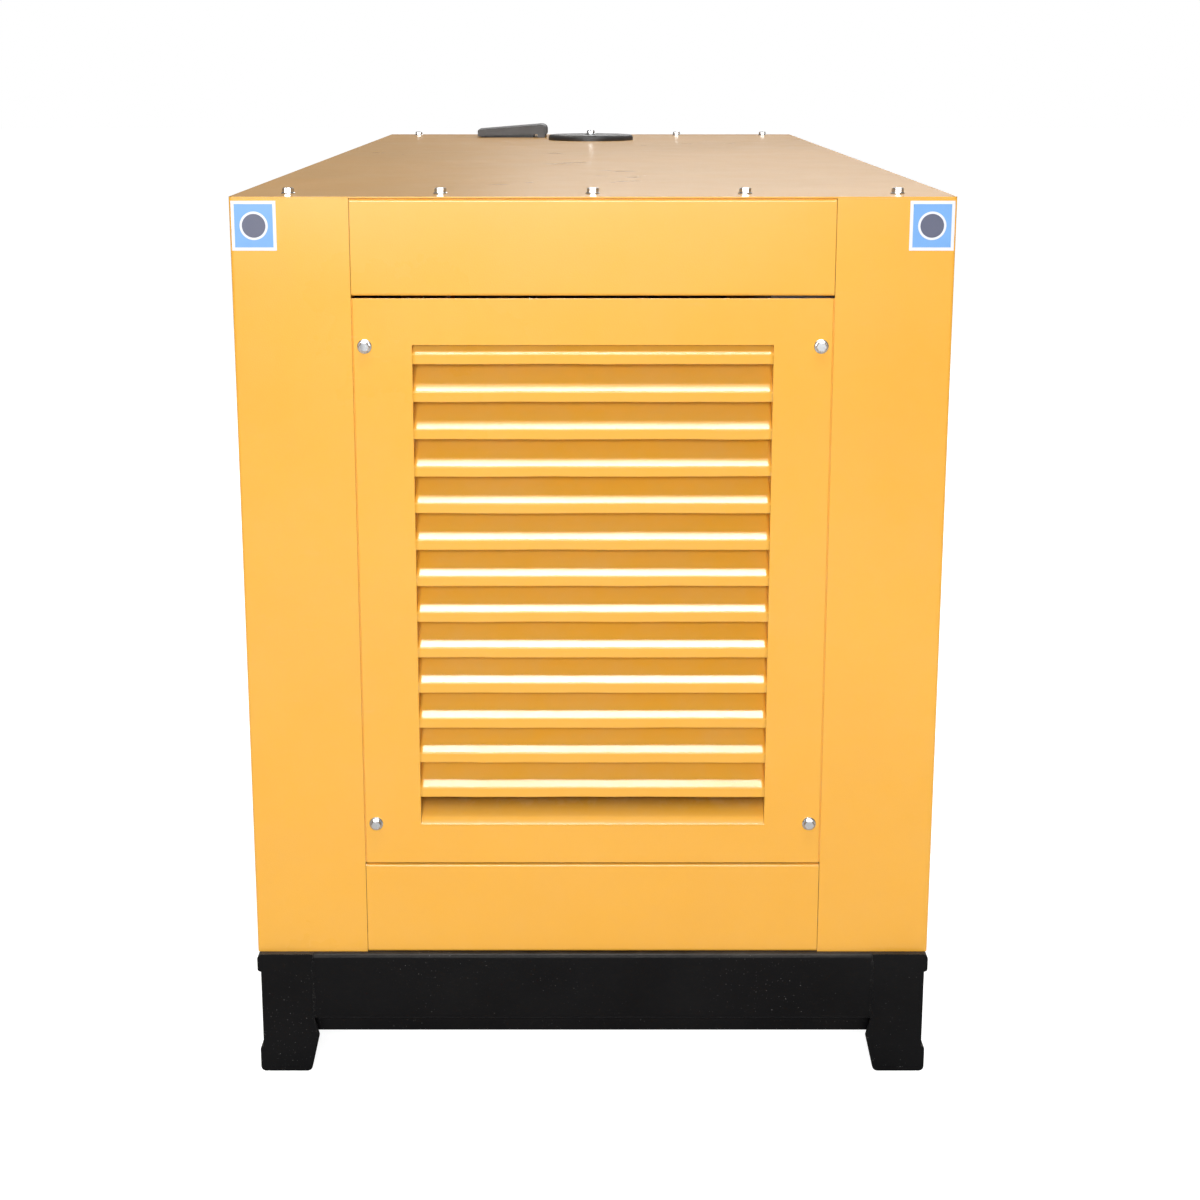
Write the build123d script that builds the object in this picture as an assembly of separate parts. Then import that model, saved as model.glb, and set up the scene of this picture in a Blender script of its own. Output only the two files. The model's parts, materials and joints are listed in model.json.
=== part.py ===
from build123d import *
import os
from math import radians, tan

os.makedirs("parts", exist_ok=True)

# Skid-mounted silenced diesel generator set. Millimetres, +Z up, X across, Y along.
# The origin is on the ground at the middle of the base. The alternator and the air inlet
# are at the rear (-Y), the radiator and the air outlet at the front (+Y).

# Overall
canopy_length = 2300.0
canopy_width = 900.0
canopy_height = 1000.0
base_height = 170.0
base_overhang = 10.0
sheet = 2.0
sheet_bend = 4.0
running_gap = 0.05

# Skid base
rail_flange = 70.0
rail_plate = 5.0
rail_bend = 8.0
rail_foot_radius = 8.0
rail_foot_taper = 6.0
rail_foot_ear = 6.0
rail_lower_flange_cut = 16.0
edge_strip = 4.5
edge_strip_top = 25.0
edge_strip_bottom = 36.0
edge_strip_round = 7.0
edge_strip_ease = 4.0
anchor_hole = 18.0
anchor_inset = 80.0
crossmember_drop = 94.0
crossmember_flange = 90.0
crossmember_step = 18.0
crossmember_lip = 24.0
inner_member_width = 60.0
inner_member_height = 90.0
inner_member_plate = 4.0
pocket_width = 210.0
pocket_height = 90.0
pocket_wall = 5.0
pocket_ground_gap = 12.0
pocket_spacing = 800.0

# Fuel tank and filler
tank_side_gap = 55.0
tank_length = 560.0
tank_height = 132.0
tank_ground_gap = 20.0
tank_wall = 3.0
filler_radius = 28.0
filler_height = 180.0
filler_side_gap = 8.0
fuel_cap_radius = 42.0
fuel_cap_height = 24.0
fuel_cap_gap = 1.0
fuel_cap_grip_share = 0.8
fuel_cap_grip_width = 12.0
fuel_cap_grip_height = 10.0

# Canopy ends
post_end_leg = 148.0
post_side_leg = 100.0
door_return = 22.0
stop_flange = 20.0
roof_flange = 80.0
header_height = 120.0
sill_height = 125.0
end_return = 20.0
seam = 0.5
panel_top_gap = 3.0
panel_side_gap = 1.5
panel_bottom_gap = 2.0
landing_width = 58.0
landing_sheet = 3.0

# Louvres
window_side_margin = 73.5
window_below_panel_top = 58.5
window_above_panel_foot = 54.0
louvre_spacing = 47.8
louvre_lip = 13.0
louvre_foot_gap = 3.0
louvre_depth = 38.0
louvre_slope = 45.0
louvre_sheet = 1.5

# Flange bolts
bolt_radius = 4.0
bolt_hole_radius = 4.5
bolt_head_across_flats = 13.0
bolt_head_height = 5.5
bolt_flange_radius = 9.0
bolt_flange_height = 2.0
bolt_flange_taper = 1.5
bolt_length = 14.0
roof_bolt_inset = 60.0
roof_bolt_spacing = 192.0
roof_bolt_side_inset = 66.0
panel_bolt_inset = 14.0
panel_bolt_top = 60.0
panel_bolt_foot = 55.0

# Doors
side_rail_height = 40.0
side_sill_height = 42.0
side_flange = 50.0
stop_lip = 18.0
centre_post_width = 60.0
door_gap = 3.0
door_depth = 20.0
door_sheet = 1.5
liner_thickness = 25.0
liner_inset = 32.0
liner_latch_inset = 82.0
hinge_radius = 5.5
hinge_skin_gap = 0.5
hinge_leaf = 2.5
hinge_leaf_width = 34.0
hinge_half = 34.0
hinge_pin_radius = 3.0
hinge_pin_length = 28.0
hinge_from_door_end = 120.0
hinge_gap = 0.6
latch_inset = 45.0
latch_height = 670.0
latch_shaft_radius = 8.0
latch_rosette_radius = 19.0
latch_rosette_height = 2.5
latch_grip = 64.0
latch_grip_width = 15.0
latch_grip_height = 8.0
latch_cam_reach = 42.0
latch_cam_width = 20.0
latch_cam_sheet = 5.0
latch_cam_gap = 2.5
window_width = 170.0
window_height = 180.0
window_from_post = 155.0
window_centre_z = 840.0
glass_thickness = 4.0
glass_overlap = 12.0

# Roof fittings
radiator_from_end = 345.0
cover_radius = 89.0
cover_height = 11.0
cover_hole_radius = 75.0
cover_skirt_gap = 2.0
cover_skirt_depth = 20.0
cover_skirt_wall = 3.0
outlet_x = -172.0
cap_left = -245.0
cap_right = -95.0
cap_length = 130.0
cap_from_end = 150.0
cap_low = 16.0
cap_high = 28.0
cap_wall = 3.0
cap_nose_radius = 12.0
cap_ground_gap = 3.0
cap_nose_gap = 7.0
outlet_wall = 3.0
outlet_collar_height = 9.0
outlet_flange = 8.0
outlet_inset = 14.0
outlet_nose_clearance = 17.0
cap_pin_radius = 3.0
cap_ear_sheet = 3.0
cap_ear_width = 16.0
cap_ear_gap = 1.0

# Engine and generator
crank_above_base = 310.0
fan_above_crank = 160.0
block_from_radiator = 265.0
block_length = 560.0
shaft_radius = 30.0
bearing_gap = 1.0
generator_from_battery = 172.5
generator_radius = 200.0
generator_bore = 114.0
generator_end_plate = 16.0
generator_edge = 18.0
terminal_box_half_width = 130.0
terminal_box_length = 260.0
terminal_box_from_back = 60.0
terminal_box_height = 90.0
generator_foot_x = 150.0
generator_foot_drop = 80.0
rotor_radius = 111.0
rotor_margin = 40.0
bell_length = 90.0
bell_radius = 210.0
bell_bore = 164.0
bell_plate = 12.0
flywheel_radius = 152.0
flywheel_thickness = 40.0
block_half_width = 140.0
block_edge = 12.0
engine_foot_gap = 5.0
engine_foot_rise = 40.0
block_below_crank = 120.0
block_above_crank = 220.0
crankcase_half_width = 95.0
crankcase_wall = 30.0
crankcase_height = 190.0
sump_half_width = 115.0
sump_above_base = 35.0
sump_inset = 20.0
sump_wall = 4.0
sump_corner = 20.0
head_half_width = 110.0
head_height = 90.0
rocker_half_width = 80.0
rocker_height = 60.0
rocker_corner = 18.0
head_inset = 25.0
mount_radius = 28.0
mount_height = 55.0
mount_x = 250.0
generator_mount_inset = 140.0
foot_plate = 15.0
foot_length = 80.0
foot_reach = 290.0
foot_web = 25.0
pulley_width = 24.0
pulley_gap = 42.0
crank_pulley_radius = 80.0
fan_pulley_radius = 58.0
belt_gap = 0.5
belt_thickness = 8.0
belt_width = 18.0
water_pump_radius = 50.0
water_pump_length = 34.0
fan_radius = 228.0
fan_hub_radius = 62.0
fan_blades = 7
fan_blade_root = 10.0
fan_blade_chord = 95.0
fan_blade_thickness = 4.0
fan_blade_pitch = 32.0
fan_from_radiator = 140.0
fan_shaft_radius = 15.0
fan_width = 46.0
shroud_side_gap = 5.0
shroud_above_base = 130.0
shroud_front_gap = 48.0
shroud_wall = 3.0
shroud_fan_gap = 12.0
shroud_ring_length = 70.0

# Radiator
radiator_half_width = 290.0
radiator_below_roof = 213.0
radiator_core_depth = 50.0
radiator_tank_depth = 70.0
radiator_tank_height = 70.0
radiator_side = 20.0
radiator_neck_radius = 25.0
radiator_neck_below_roof = 68.0

# Exhaust and intake
exhaust_radius = 30.0
exhaust_joint = 10.0
exhaust_bend = 60.0
exhaust_side_gap = 105.0
exhaust_port_from_front = 120.0
muffler_above_base = 700.0
muffler_wall = 2.0
muffler_radius = 85.0
muffler_half_length = 250.0
strap_width = 40.0
strap_thickness = 5.0
manifold_depth = 50.0
manifold_height = 50.0
manifold_length = 350.0
air_cleaner_radius = 75.0
air_cleaner_edge = 10.0
air_cleaner_x = 225.0
air_cleaner_above_block = 100.0
air_cleaner_from_front = 410.0
air_cleaner_length = 310.0
intake_radius = 28.0
intake_from_front = 240.0

# Battery and controls
battery_length = 320.0
battery_width = 175.0
battery_height = 225.0
battery_side_gap = 70.0
battery_from_end = 150.0
battery_tray = 4.0
battery_tray_rim = 8.0
battery_tray_lap = 20.0
battery_corner = 6.0
battery_post_inset = 35.0
battery_post_radius = 9.0
battery_post_height = 18.0
box_depth = 158.0
box_side_gap = 60.0
box_length = 300.0
box_from_post = 10.0
box_bottom = 640.0
box_top = 1050.0
box_sheet = 2.0
box_leg = 28.0
controller_width = 150.0
controller_height = 110.0
controller_depth = 14.0
controller_corner = 6.0
controller_from_box = 135.0
controller_z = 905.0
breaker_width = 60.0
breaker_height = 100.0
breaker_depth = 12.0
breaker_from_box = 180.0
breaker_z = 780.0
toggle_length = 16.0
toggle_width = 14.0
toggle_thickness = 7.0
toggle_slot = 9.0
toggle_side_gap = 1.0
key_from_box = 110.0
key_z = 800.0
key_radius = 11.0
key_step = 3.0
key_flange_gap = 1.0
key_flange = 7.0
key_bow_length = 14.0
key_bow_thickness = 3.0
key_bow_width = 24.0
stop_from_box = 75.0
stop_z = 750.0
stop_radius = 16.0
stop_neck_radius = 9.0
stop_travel = 6.0
stop_clearance = 4.0
stop_head_under = 2.0
stop_head_over = 10.0
stop_head_edge = 4.0

# Worked-out planes
end_y = canopy_length / 2
side_x = canopy_width / 2
roof_z = base_height + canopy_height
under_roof = roof_z - sheet
base_end = end_y + base_overhang
header_foot = under_roof - header_height
sill_top = base_height + sill_height
panel_foot = sill_top + panel_bottom_gap
panel_head = header_foot - panel_top_gap
post_seam_x = side_x - post_end_leg
post_edge_y = end_y - post_side_leg
panel_half_width = post_seam_x - panel_side_gap
rail_web_x = side_x - edge_strip
rail_inner_x = rail_web_x - rail_flange
radiator_y = end_y - radiator_from_end
stop_x = side_x - door_return
door_foot = base_height + side_sill_height + door_gap
door_head = under_roof - side_rail_height - door_gap
door_outer_y = post_edge_y - door_gap
door_inner_y = centre_post_width / 2 + door_gap
hinge_x = side_x + hinge_radius + hinge_skin_gap
hinge_y = post_edge_y - door_gap / 2
latch_y = door_inner_y + latch_inset
mount_top = base_height + mount_height
panel_window_x = panel_half_width - window_side_margin
roof_corner_bolt = side_x - roof_bolt_side_inset
window_centre_y = -post_edge_y + window_from_post
cap_near = end_y - cap_from_end - cap_length / 2
cap_far = cap_near + cap_length
cap_pin_x = cap_right - cap_nose_radius
cap_pin_z = roof_z + cap_high - cap_nose_radius
tank_half_width = rail_inner_x - tank_side_gap
tank_top = tank_ground_gap + tank_height
filler_x = -tank_half_width + filler_radius + filler_side_gap
filler_top = tank_top + filler_height
crank_height = base_height + crank_above_base
fan_height = crank_height + fan_above_crank
fan_y = radiator_y - fan_from_radiator
block_front = radiator_y - block_from_radiator
bell_front = block_front - block_length
block_bottom = crank_height - block_below_crank
block_top = crank_height + block_above_crank
sump_bottom = base_height + sump_above_base
generator_front = bell_front - bell_length
battery_y = -end_y + battery_from_end
generator_back = battery_y + battery_width / 2 + generator_from_battery
generator_mount_y = generator_back + generator_mount_inset
pulley_back = block_front + pulley_gap
pulley_front = pulley_back + pulley_width
shroud_half_width = radiator_half_width - shroud_side_gap
shroud_bottom = base_height + shroud_above_base
shroud_ring_radius = fan_radius + shroud_fan_gap
radiator_top = under_roof - radiator_below_roof
radiator_neck_top = under_roof - radiator_neck_below_roof
shroud_top = radiator_top - radiator_tank_height
exhaust_side = -side_x + exhaust_side_gap
exhaust_port_y = block_front - exhaust_port_from_front
exhaust_port_z = block_top + head_height / 2
muffler_y = (cap_near + cap_far) / 2
muffler_z = base_height + muffler_above_base
air_cleaner_z = block_top + air_cleaner_above_block
air_cleaner_back = block_front - air_cleaner_from_front
intake_y = block_front - intake_from_front
battery_outer = -side_x + battery_side_gap
box_front_x = side_x - box_side_gap
box_back_x = box_front_x - box_depth
box_near = -post_edge_y + box_from_post
box_far = box_near + box_length
fascia_x = box_front_x + box_sheet
controller_y = box_near + controller_from_box
breaker_y = box_near + breaker_from_box
key_y = box_near + key_from_box
stop_y = box_near + stop_from_box


def block(x0, x1, y0, y1, z0, z1):
    """A box between two values on each axis."""
    centre = Pos((x0 + x1) / 2, (y0 + y1) / 2, (z0 + z1) / 2)
    return centre * Box(abs(x1 - x0), abs(y1 - y0), abs(z1 - z0))


def along_x(section, start, end):
    """A section drawn in Y and Z, drawn out along X."""
    return extrude(Plane.YZ.offset(start) * section, amount=end - start)


def along_y(section, start, end):
    """A section drawn in X and Z, drawn out along Y."""
    return extrude(Plane.XZ.offset(-end) * section, amount=end - start)


def along_z(section, start, end):
    """A section drawn in X and Y, drawn out along Z."""
    return extrude(Pos(0, 0, start) * section, amount=end - start)


def rod_x(radius, start, end, y, z):
    return along_x(Pos(y, z) * Circle(radius), start, end)


def rod_y(radius, start, end, x, z):
    return along_y(Pos(x, z) * Circle(radius), start, end)


def rod_z(radius, start, end, x, y):
    return along_z(Pos(x, y) * Circle(radius), start, end)


def folded_section(path, thickness, bend):
    """Section of a folded sheet: one side follows the path, the thickness is on its left."""
    points = [Vector(*point) for point in path]
    runs = [(b - a).normalized() for a, b in zip(points, points[1:])]
    lefts = [Vector(-run.Y, run.X) for run in runs]
    other = [points[0] + lefts[0] * thickness]
    near_radii = []
    far_radii = []
    for point, before, after, run_in, run_out in zip(points[1:], lefts, lefts[1:], runs, runs[1:]):
        other.append(point + (before + after) * (thickness / (1 + before.dot(after))))
        turns_left = run_in.cross(run_out).Z > 0
        near_radii.append(bend if turns_left else bend - thickness)
        far_radii.append(bend - thickness if turns_left else bend)
    other.append(points[-1] + lefts[-1] * thickness)
    outline = points + other[::-1]
    radii = [0, *near_radii, 0, 0, *far_radii[::-1], 0]
    return make_face(FilletPolyline(*outline, radius=radii, close=True))


def rounded_outline(points, radii):
    """Face inside a closed outline whose corners have the given radii."""
    return make_face(FilletPolyline(*points, radius=radii, close=True))


def other_side(shape):
    return mirror(shape, about=Plane.YZ)


def other_end(shape):
    return mirror(shape, about=Plane.XZ)


def save(name, *pieces):
    """Writes one named sub-part, with every separate solid it has."""
    solids = [solid for piece in pieces for solid in piece.solids()]
    export_step(Compound(solids), f"parts/{name}.step")


# Skid base


def base_rail():
    """Right-hand rail: a channel open inwards, closed at its ends, with edge strips."""
    channel_path = [
        (rail_inner_x + rail_lower_flange_cut, 0),
        (rail_web_x, 0),
        (rail_web_x, base_height),
        (rail_inner_x, base_height),
    ]
    rail = along_y(folded_section(channel_path, rail_plate, rail_bend), -base_end, base_end)
    crossmember_step_z = base_height - crossmember_drop
    foot_outline = [
        (rail_inner_x + rail_foot_taper, 0),
        (rail_web_x, 0),
        (rail_web_x, base_height),
        (rail_inner_x, base_height),
        (rail_inner_x, crossmember_step_z),
        (rail_inner_x - rail_foot_ear, crossmember_step_z - crossmember_lip),
    ]
    end_plate = rounded_outline(foot_outline, [rail_foot_radius, rail_bend, rail_bend, 0, 0, 0])
    rail += along_y(end_plate, -base_end, -base_end + rail_plate)
    rail += along_y(end_plate, base_end - rail_plate, base_end)
    strip_inner = rail_web_x - rail_plate
    top_outline = [
        (strip_inner, base_height - edge_strip_top),
        (side_x, base_height - edge_strip_top),
        (side_x, base_height),
        (strip_inner, base_height),
    ]
    foot_strip_outline = [
        (strip_inner, 0),
        (side_x, 0),
        (side_x, edge_strip_bottom),
        (strip_inner, edge_strip_bottom),
    ]
    rail += along_y(rounded_outline(top_outline, [0, edge_strip_ease, edge_strip_round, 0]), -base_end, base_end)
    rail += along_y(rounded_outline(foot_strip_outline, [0, edge_strip_round, edge_strip_ease, 0]), -base_end, base_end)
    for pocket_y in (-pocket_spacing / 2, pocket_spacing / 2):
        rail -= pocket_space(pocket_y, pocket_width, pocket_height, pocket_ground_gap)
    for anchor_y in (-base_end + anchor_inset, base_end - anchor_inset):
        rail -= rod_z(anchor_hole / 2, 0, rail_plate, anchor_x(), anchor_y)
    return rail


def anchor_x():
    """Anchor holes are on the middle of the bottom flange."""
    return rail_inner_x + rail_flange / 2


def pocket_space(centre_y, width, height, foot):
    half = width / 2
    return block(-side_x, side_x, centre_y - half, centre_y + half, foot, foot + height)


def fork_pocket(centre_y):
    """Rectangular tube right across the base, flush with both rail webs."""
    half = pocket_width / 2
    top = pocket_ground_gap + pocket_height
    tube = block(-rail_web_x, rail_web_x, centre_y - half, centre_y + half, pocket_ground_gap, top)
    bore_width = pocket_width - 2 * pocket_wall
    bore_height = pocket_height - 2 * pocket_wall
    return tube - pocket_space(centre_y, bore_width, bore_height, pocket_ground_gap + pocket_wall)


def end_crossmember():
    """Rear crossmember: folded plate with a stepped-back lower lip."""
    step_z = base_height - crossmember_drop
    path = [
        (-base_end + crossmember_flange, base_height),
        (-base_end, base_height),
        (-base_end, step_z),
        (-base_end + crossmember_step, step_z),
        (-base_end + crossmember_step, step_z - crossmember_lip),
    ]
    return along_x(folded_section(path, rail_plate, rail_bend - 2), -rail_inner_x, rail_inner_x)


def inner_crossmember(centre_y):
    """Channel between the rails, open downwards."""
    half = inner_member_width / 2
    foot = base_height - inner_member_height
    path = [
        (centre_y + half, foot),
        (centre_y + half, base_height),
        (centre_y - half, base_height),
        (centre_y - half, foot),
    ]
    section = folded_section(path, inner_member_plate, rail_bend)
    return along_x(section, -rail_inner_x, rail_inner_x)


def fuel_tank():
    """Welded tank between the fork pockets, with a filler neck on the left."""
    x = tank_half_width
    y = tank_length / 2
    inner_x = x - tank_wall
    inner_y = y - tank_wall
    tank = block(-x, x, -y, y, tank_ground_gap, tank_top)
    tank += rod_z(filler_radius, tank_top, filler_top, filler_x, 0)
    tank -= block(-inner_x, inner_x, -inner_y, inner_y, tank_ground_gap + tank_wall, tank_top - tank_wall)
    return tank - rod_z(filler_radius - tank_wall, tank_top - 2 * tank_wall, filler_top, filler_x, 0)


def fuel_cap():
    """Cap over the filler neck, with a grip bar on top."""
    foot = filler_top - fuel_cap_height / 2
    top = filler_top + fuel_cap_height / 2
    cap = rod_z(fuel_cap_radius, foot, top, filler_x, 0)
    cap -= rod_z(filler_radius + fuel_cap_gap, foot, filler_top + fuel_cap_gap, filler_x, 0)
    reach = fuel_cap_radius * fuel_cap_grip_share
    half = fuel_cap_grip_width / 2
    return cap + block(filler_x - reach, filler_x + reach, -half, half, top, top + fuel_cap_grip_height)


# Canopy frame


def corner_post():
    """Right rear corner post with roof plate, foot plate and panel landing."""
    path = [
        (post_seam_x, -end_y),
        (side_x, -end_y),
        (side_x, -post_edge_y),
        (stop_x, -post_edge_y),
        (stop_x, -post_edge_y + stop_flange),
    ]
    post = along_z(folded_section(path, sheet, sheet_bend), base_height, under_roof)
    stop_zone = (stop_x - 2 * sheet, side_x - sheet, -post_edge_y - 2 * sheet, -post_edge_y + stop_flange + sheet)
    post -= block(*stop_zone, base_height, base_height + side_sill_height + stop_lip)
    post -= block(*stop_zone, under_roof - side_rail_height - stop_lip, under_roof)
    inner_y = -end_y + sheet
    inner_x = side_x - sheet
    for foot in (base_height, under_roof - sheet):
        post += block(post_seam_x, inner_x, inner_y, -end_y + roof_flange, foot, foot + sheet)
    landing_inner = post_seam_x - landing_width / 2
    landing_outer = post_seam_x + landing_width / 2
    post += block(landing_inner, landing_outer, inner_y, inner_y + landing_sheet, panel_foot, panel_head)
    post -= roof_bolt_hole(roof_corner_bolt)
    for bolt_z in panel_bolt_heights():
        post -= panel_bolt_hole(panel_bolt_x(), bolt_z)
    return post


def roof_bolt_hole(x):
    return rod_z(bolt_hole_radius, under_roof - 2 * sheet, roof_z, x, -end_y + roof_bolt_inset)


def panel_bolt_hole(x, z):
    return rod_y(bolt_hole_radius, -end_y, -end_y + 3 * sheet, x, z)


def panel_bolt_x():
    return panel_half_width - panel_bolt_inset


def panel_bolt_heights():
    return (panel_head - panel_bolt_top, panel_foot + panel_bolt_foot)


def roof_bolt_places():
    return (-roof_corner_bolt, -roof_bolt_spacing, 0, roof_bolt_spacing, roof_corner_bolt)


def end_header():
    """Rear header: channel with a deep top flange for the roof bolts."""
    path = [
        (-end_y + roof_flange, under_roof),
        (-end_y, under_roof),
        (-end_y, header_foot),
        (-end_y + end_return, header_foot),
    ]
    half = post_seam_x - seam
    header = along_x(folded_section(path, sheet, sheet_bend), -half, half)
    for bolt_x in roof_bolt_places()[1:-1]:
        header -= roof_bolt_hole(bolt_x)
    return header


def end_sill():
    """Rear sill: channel standing on the base."""
    path = [
        (-end_y + end_return, sill_top),
        (-end_y, sill_top),
        (-end_y, base_height),
        (-end_y + roof_flange, base_height),
    ]
    half = post_seam_x - seam
    return along_x(folded_section(path, sheet, sheet_bend), -half, half)


def louvre_section(lip_foot):
    """One louvre blade in Y and Z: upright lip on the panel plane, then a slope in and up."""
    lip_head = lip_foot + louvre_lip
    rise = louvre_depth * tan(radians(louvre_slope))
    path = [
        (-end_y + louvre_depth, lip_head + rise),
        (-end_y, lip_head),
        (-end_y, lip_foot),
    ]
    return folded_section(path, louvre_sheet, louvre_sheet + 1)


def foot_louvre_section(window_foot):
    """Slope of the lowest blade, whose lip is the panel under the window."""
    rise = louvre_depth * tan(radians(louvre_slope))
    path = [
        (-end_y + louvre_depth, window_foot + rise),
        (-end_y, window_foot),
        (-end_y, window_foot - louvre_foot_gap),
    ]
    return folded_section(path, louvre_sheet, louvre_sheet + 1)


def louvre_lip_feet(window_foot, window_head):
    """Heights of the lips' lower edges, from half a pitch under the window's head."""
    run = window_head - window_foot + louvre_lip - louvre_foot_gap
    count = round(run / louvre_spacing - 0.5)
    pitch = run / (count + 0.5)
    return [window_head - (row + 0.5) * pitch for row in range(count)]


def louvre_panel():
    """Rear panel: flat sheet with a window full of weather louvres between two cheeks."""
    window_head = panel_head - window_below_panel_top
    window_foot = panel_foot + window_above_panel_foot
    inner_y = -end_y + sheet
    panel = block(-panel_half_width, panel_half_width, -end_y, inner_y, panel_foot, panel_head)
    panel -= block(-panel_window_x, panel_window_x, -end_y, inner_y, window_foot, window_head)
    for side in (-1, 1):
        cheek_x = side * panel_window_x
        panel += block(
            cheek_x, cheek_x + side * sheet, -end_y + sheet / 2, -end_y + louvre_depth, window_foot, window_head
        )
    sections = [louvre_section(lip_foot) for lip_foot in louvre_lip_feet(window_foot, window_head)]
    sections.append(foot_louvre_section(window_foot))
    panel += [along_x(section, -panel_window_x, panel_window_x) for section in sections]
    for side in (-1, 1):
        for bolt_z in panel_bolt_heights():
            panel -= panel_bolt_hole(side * panel_bolt_x(), bolt_z)
    return panel


def roof_panel():
    """Flat roof sheet with bolt holes, the radiator filler hole and the exhaust hole."""
    roof = block(-side_x, side_x, -end_y, end_y, under_roof, roof_z)
    roof = fillet(roof.edges().filter_by(Axis.Z), sheet_bend)
    for bolt_x in roof_bolt_places():
        hole = roof_bolt_hole(bolt_x)
        roof -= hole
        roof -= other_end(hole)
    roof -= rod_z(cover_hole_radius, under_roof, roof_z, 0, radiator_y)
    roof -= outlet_space(0, under_roof, roof_z)
    return roof


def flange_bolt():
    """Hexagon flange bolt standing on z = 0, its shank pointing down."""
    bolt = Cylinder(bolt_radius, bolt_length, align=(Align.CENTER, Align.CENTER, Align.MAX))
    seat = (Align.CENTER, Align.CENTER, Align.MIN)
    bolt += Cone(bolt_flange_radius, bolt_flange_radius - bolt_flange_taper, bolt_flange_height, align=seat)
    head = RegularPolygon(bolt_head_across_flats / 2, 6, major_radius=False)
    bolt += along_z(head, bolt_flange_height, bolt_flange_height + bolt_head_height)
    return bolt


def roof_bolts():
    """Bolts through the roof into the headers and posts, at both ends."""
    bolts = []
    for bolt_x in roof_bolt_places():
        for bolt_y in (-end_y + roof_bolt_inset, end_y - roof_bolt_inset):
            bolts.append(Pos(bolt_x, bolt_y, roof_z) * flange_bolt())
    return bolts


def panel_bolts():
    """Bolts through the louvred panels into the post landings, at both ends."""
    bolts = []
    for side in (-1, 1):
        for bolt_z in panel_bolt_heights():
            bolt = Pos(side * panel_bolt_x(), -end_y, bolt_z) * Rot(90, 0, 0) * flange_bolt()
            bolts.append(bolt)
            bolts.append(other_end(bolt))
    return bolts


def side_top_rail():
    """Right-hand rail over the doors, with a stop lip behind them."""
    foot = under_roof - side_rail_height
    path = [
        (stop_x, foot - stop_lip),
        (stop_x, foot),
        (side_x, foot),
        (side_x, under_roof),
        (side_x - side_flange, under_roof),
    ]
    return along_y(folded_section(path, sheet, sheet_bend), -post_edge_y, post_edge_y)


def side_sill():
    """Right-hand sill under the doors, with a stop lip behind them."""
    top = base_height + side_sill_height
    path = [
        (side_x - side_flange, base_height),
        (side_x, base_height),
        (side_x, top),
        (stop_x, top),
        (stop_x, top + stop_lip),
    ]
    return along_y(folded_section(path, sheet, sheet_bend), -post_edge_y, post_edge_y)


def centre_post():
    """Right-hand post between the two doors: a hat section with stop flanges."""
    half = centre_post_width / 2
    foot = base_height + side_sill_height
    head = under_roof - side_rail_height
    path = [
        (stop_x, -half - stop_flange),
        (stop_x, -half),
        (side_x, -half),
        (side_x, half),
        (stop_x, half),
        (stop_x, half + stop_flange),
    ]
    post = along_z(folded_section(path, sheet, sheet_bend), foot, head)
    reach = half + stop_flange
    lip_zone = (stop_x - 2 * sheet, stop_x + sheet, -reach, reach)
    post -= block(*lip_zone, foot, foot + stop_lip)
    post -= block(*lip_zone, head - stop_lip, head)
    return post


# Doors


def hinge_places():
    return (door_foot + hinge_from_door_end, door_head - hinge_from_door_end)


def hinge_frame_half(z):
    """Lower hinge half on the right rear post, with its pin standing up."""
    leaf_y = -post_edge_y - hinge_leaf_width
    half = block(side_x, side_x + hinge_leaf, leaf_y, -post_edge_y, z - hinge_half, z)
    half += rod_z(hinge_radius, z - hinge_half, z, hinge_x, -hinge_y)
    half += rod_z(hinge_pin_radius, z, z + hinge_pin_length, hinge_x, -hinge_y)
    return half


def hinge_door_half(z):
    """Upper hinge half on the right rear door, with a blind hole for the pin."""
    foot = z + hinge_gap
    top = foot + hinge_half
    half = block(side_x, side_x + hinge_leaf, -door_outer_y, -door_outer_y + hinge_leaf_width, foot, top)
    half += rod_z(hinge_radius, foot, top, hinge_x, -hinge_y)
    pin_hole = hinge_pin_radius + running_gap
    return half - rod_z(pin_hole, foot, z + hinge_pin_length + hinge_gap, hinge_x, -hinge_y)


def door():
    """Right rear door: a folded tray with its two upper hinge halves and the latch hole."""
    skin = block(side_x - door_depth, side_x, -door_outer_y, -door_inner_y, door_foot, door_head)
    outer_edges = skin.edges().filter_by(lambda edge: edge.center().X > side_x - 1)
    skin = fillet(outer_edges, sheet_bend - 1)
    inner_x = side_x - door_sheet
    skin -= block(
        side_x - door_depth,
        inner_x,
        -door_outer_y + door_sheet,
        -door_inner_y - door_sheet,
        door_foot + door_sheet,
        door_head - door_sheet,
    )
    skin -= rod_x(latch_shaft_radius + running_gap, inner_x, side_x, -latch_y, latch_height)
    for z in hinge_places():
        skin += hinge_door_half(z)
    return skin


def door_liner():
    """Sound-absorbing foam slab on the inside of the right rear door."""
    face_x = side_x - door_sheet
    return block(
        face_x - liner_thickness,
        face_x,
        -door_outer_y + liner_inset,
        -door_inner_y - liner_latch_inset,
        door_foot + liner_inset,
        door_head - liner_inset,
    )


def window_space(x0, x1, margin):
    half_width = window_width / 2 + margin
    half_height = window_height / 2 + margin
    return block(
        x0,
        x1,
        window_centre_y - half_width,
        window_centre_y + half_width,
        window_centre_z - half_height,
        window_centre_z + half_height,
    )


def door_window():
    """Pane behind the opening in the control-side door."""
    inner_x = side_x - door_sheet
    return window_space(inner_x - glass_thickness, inner_x, glass_overlap)


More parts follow.
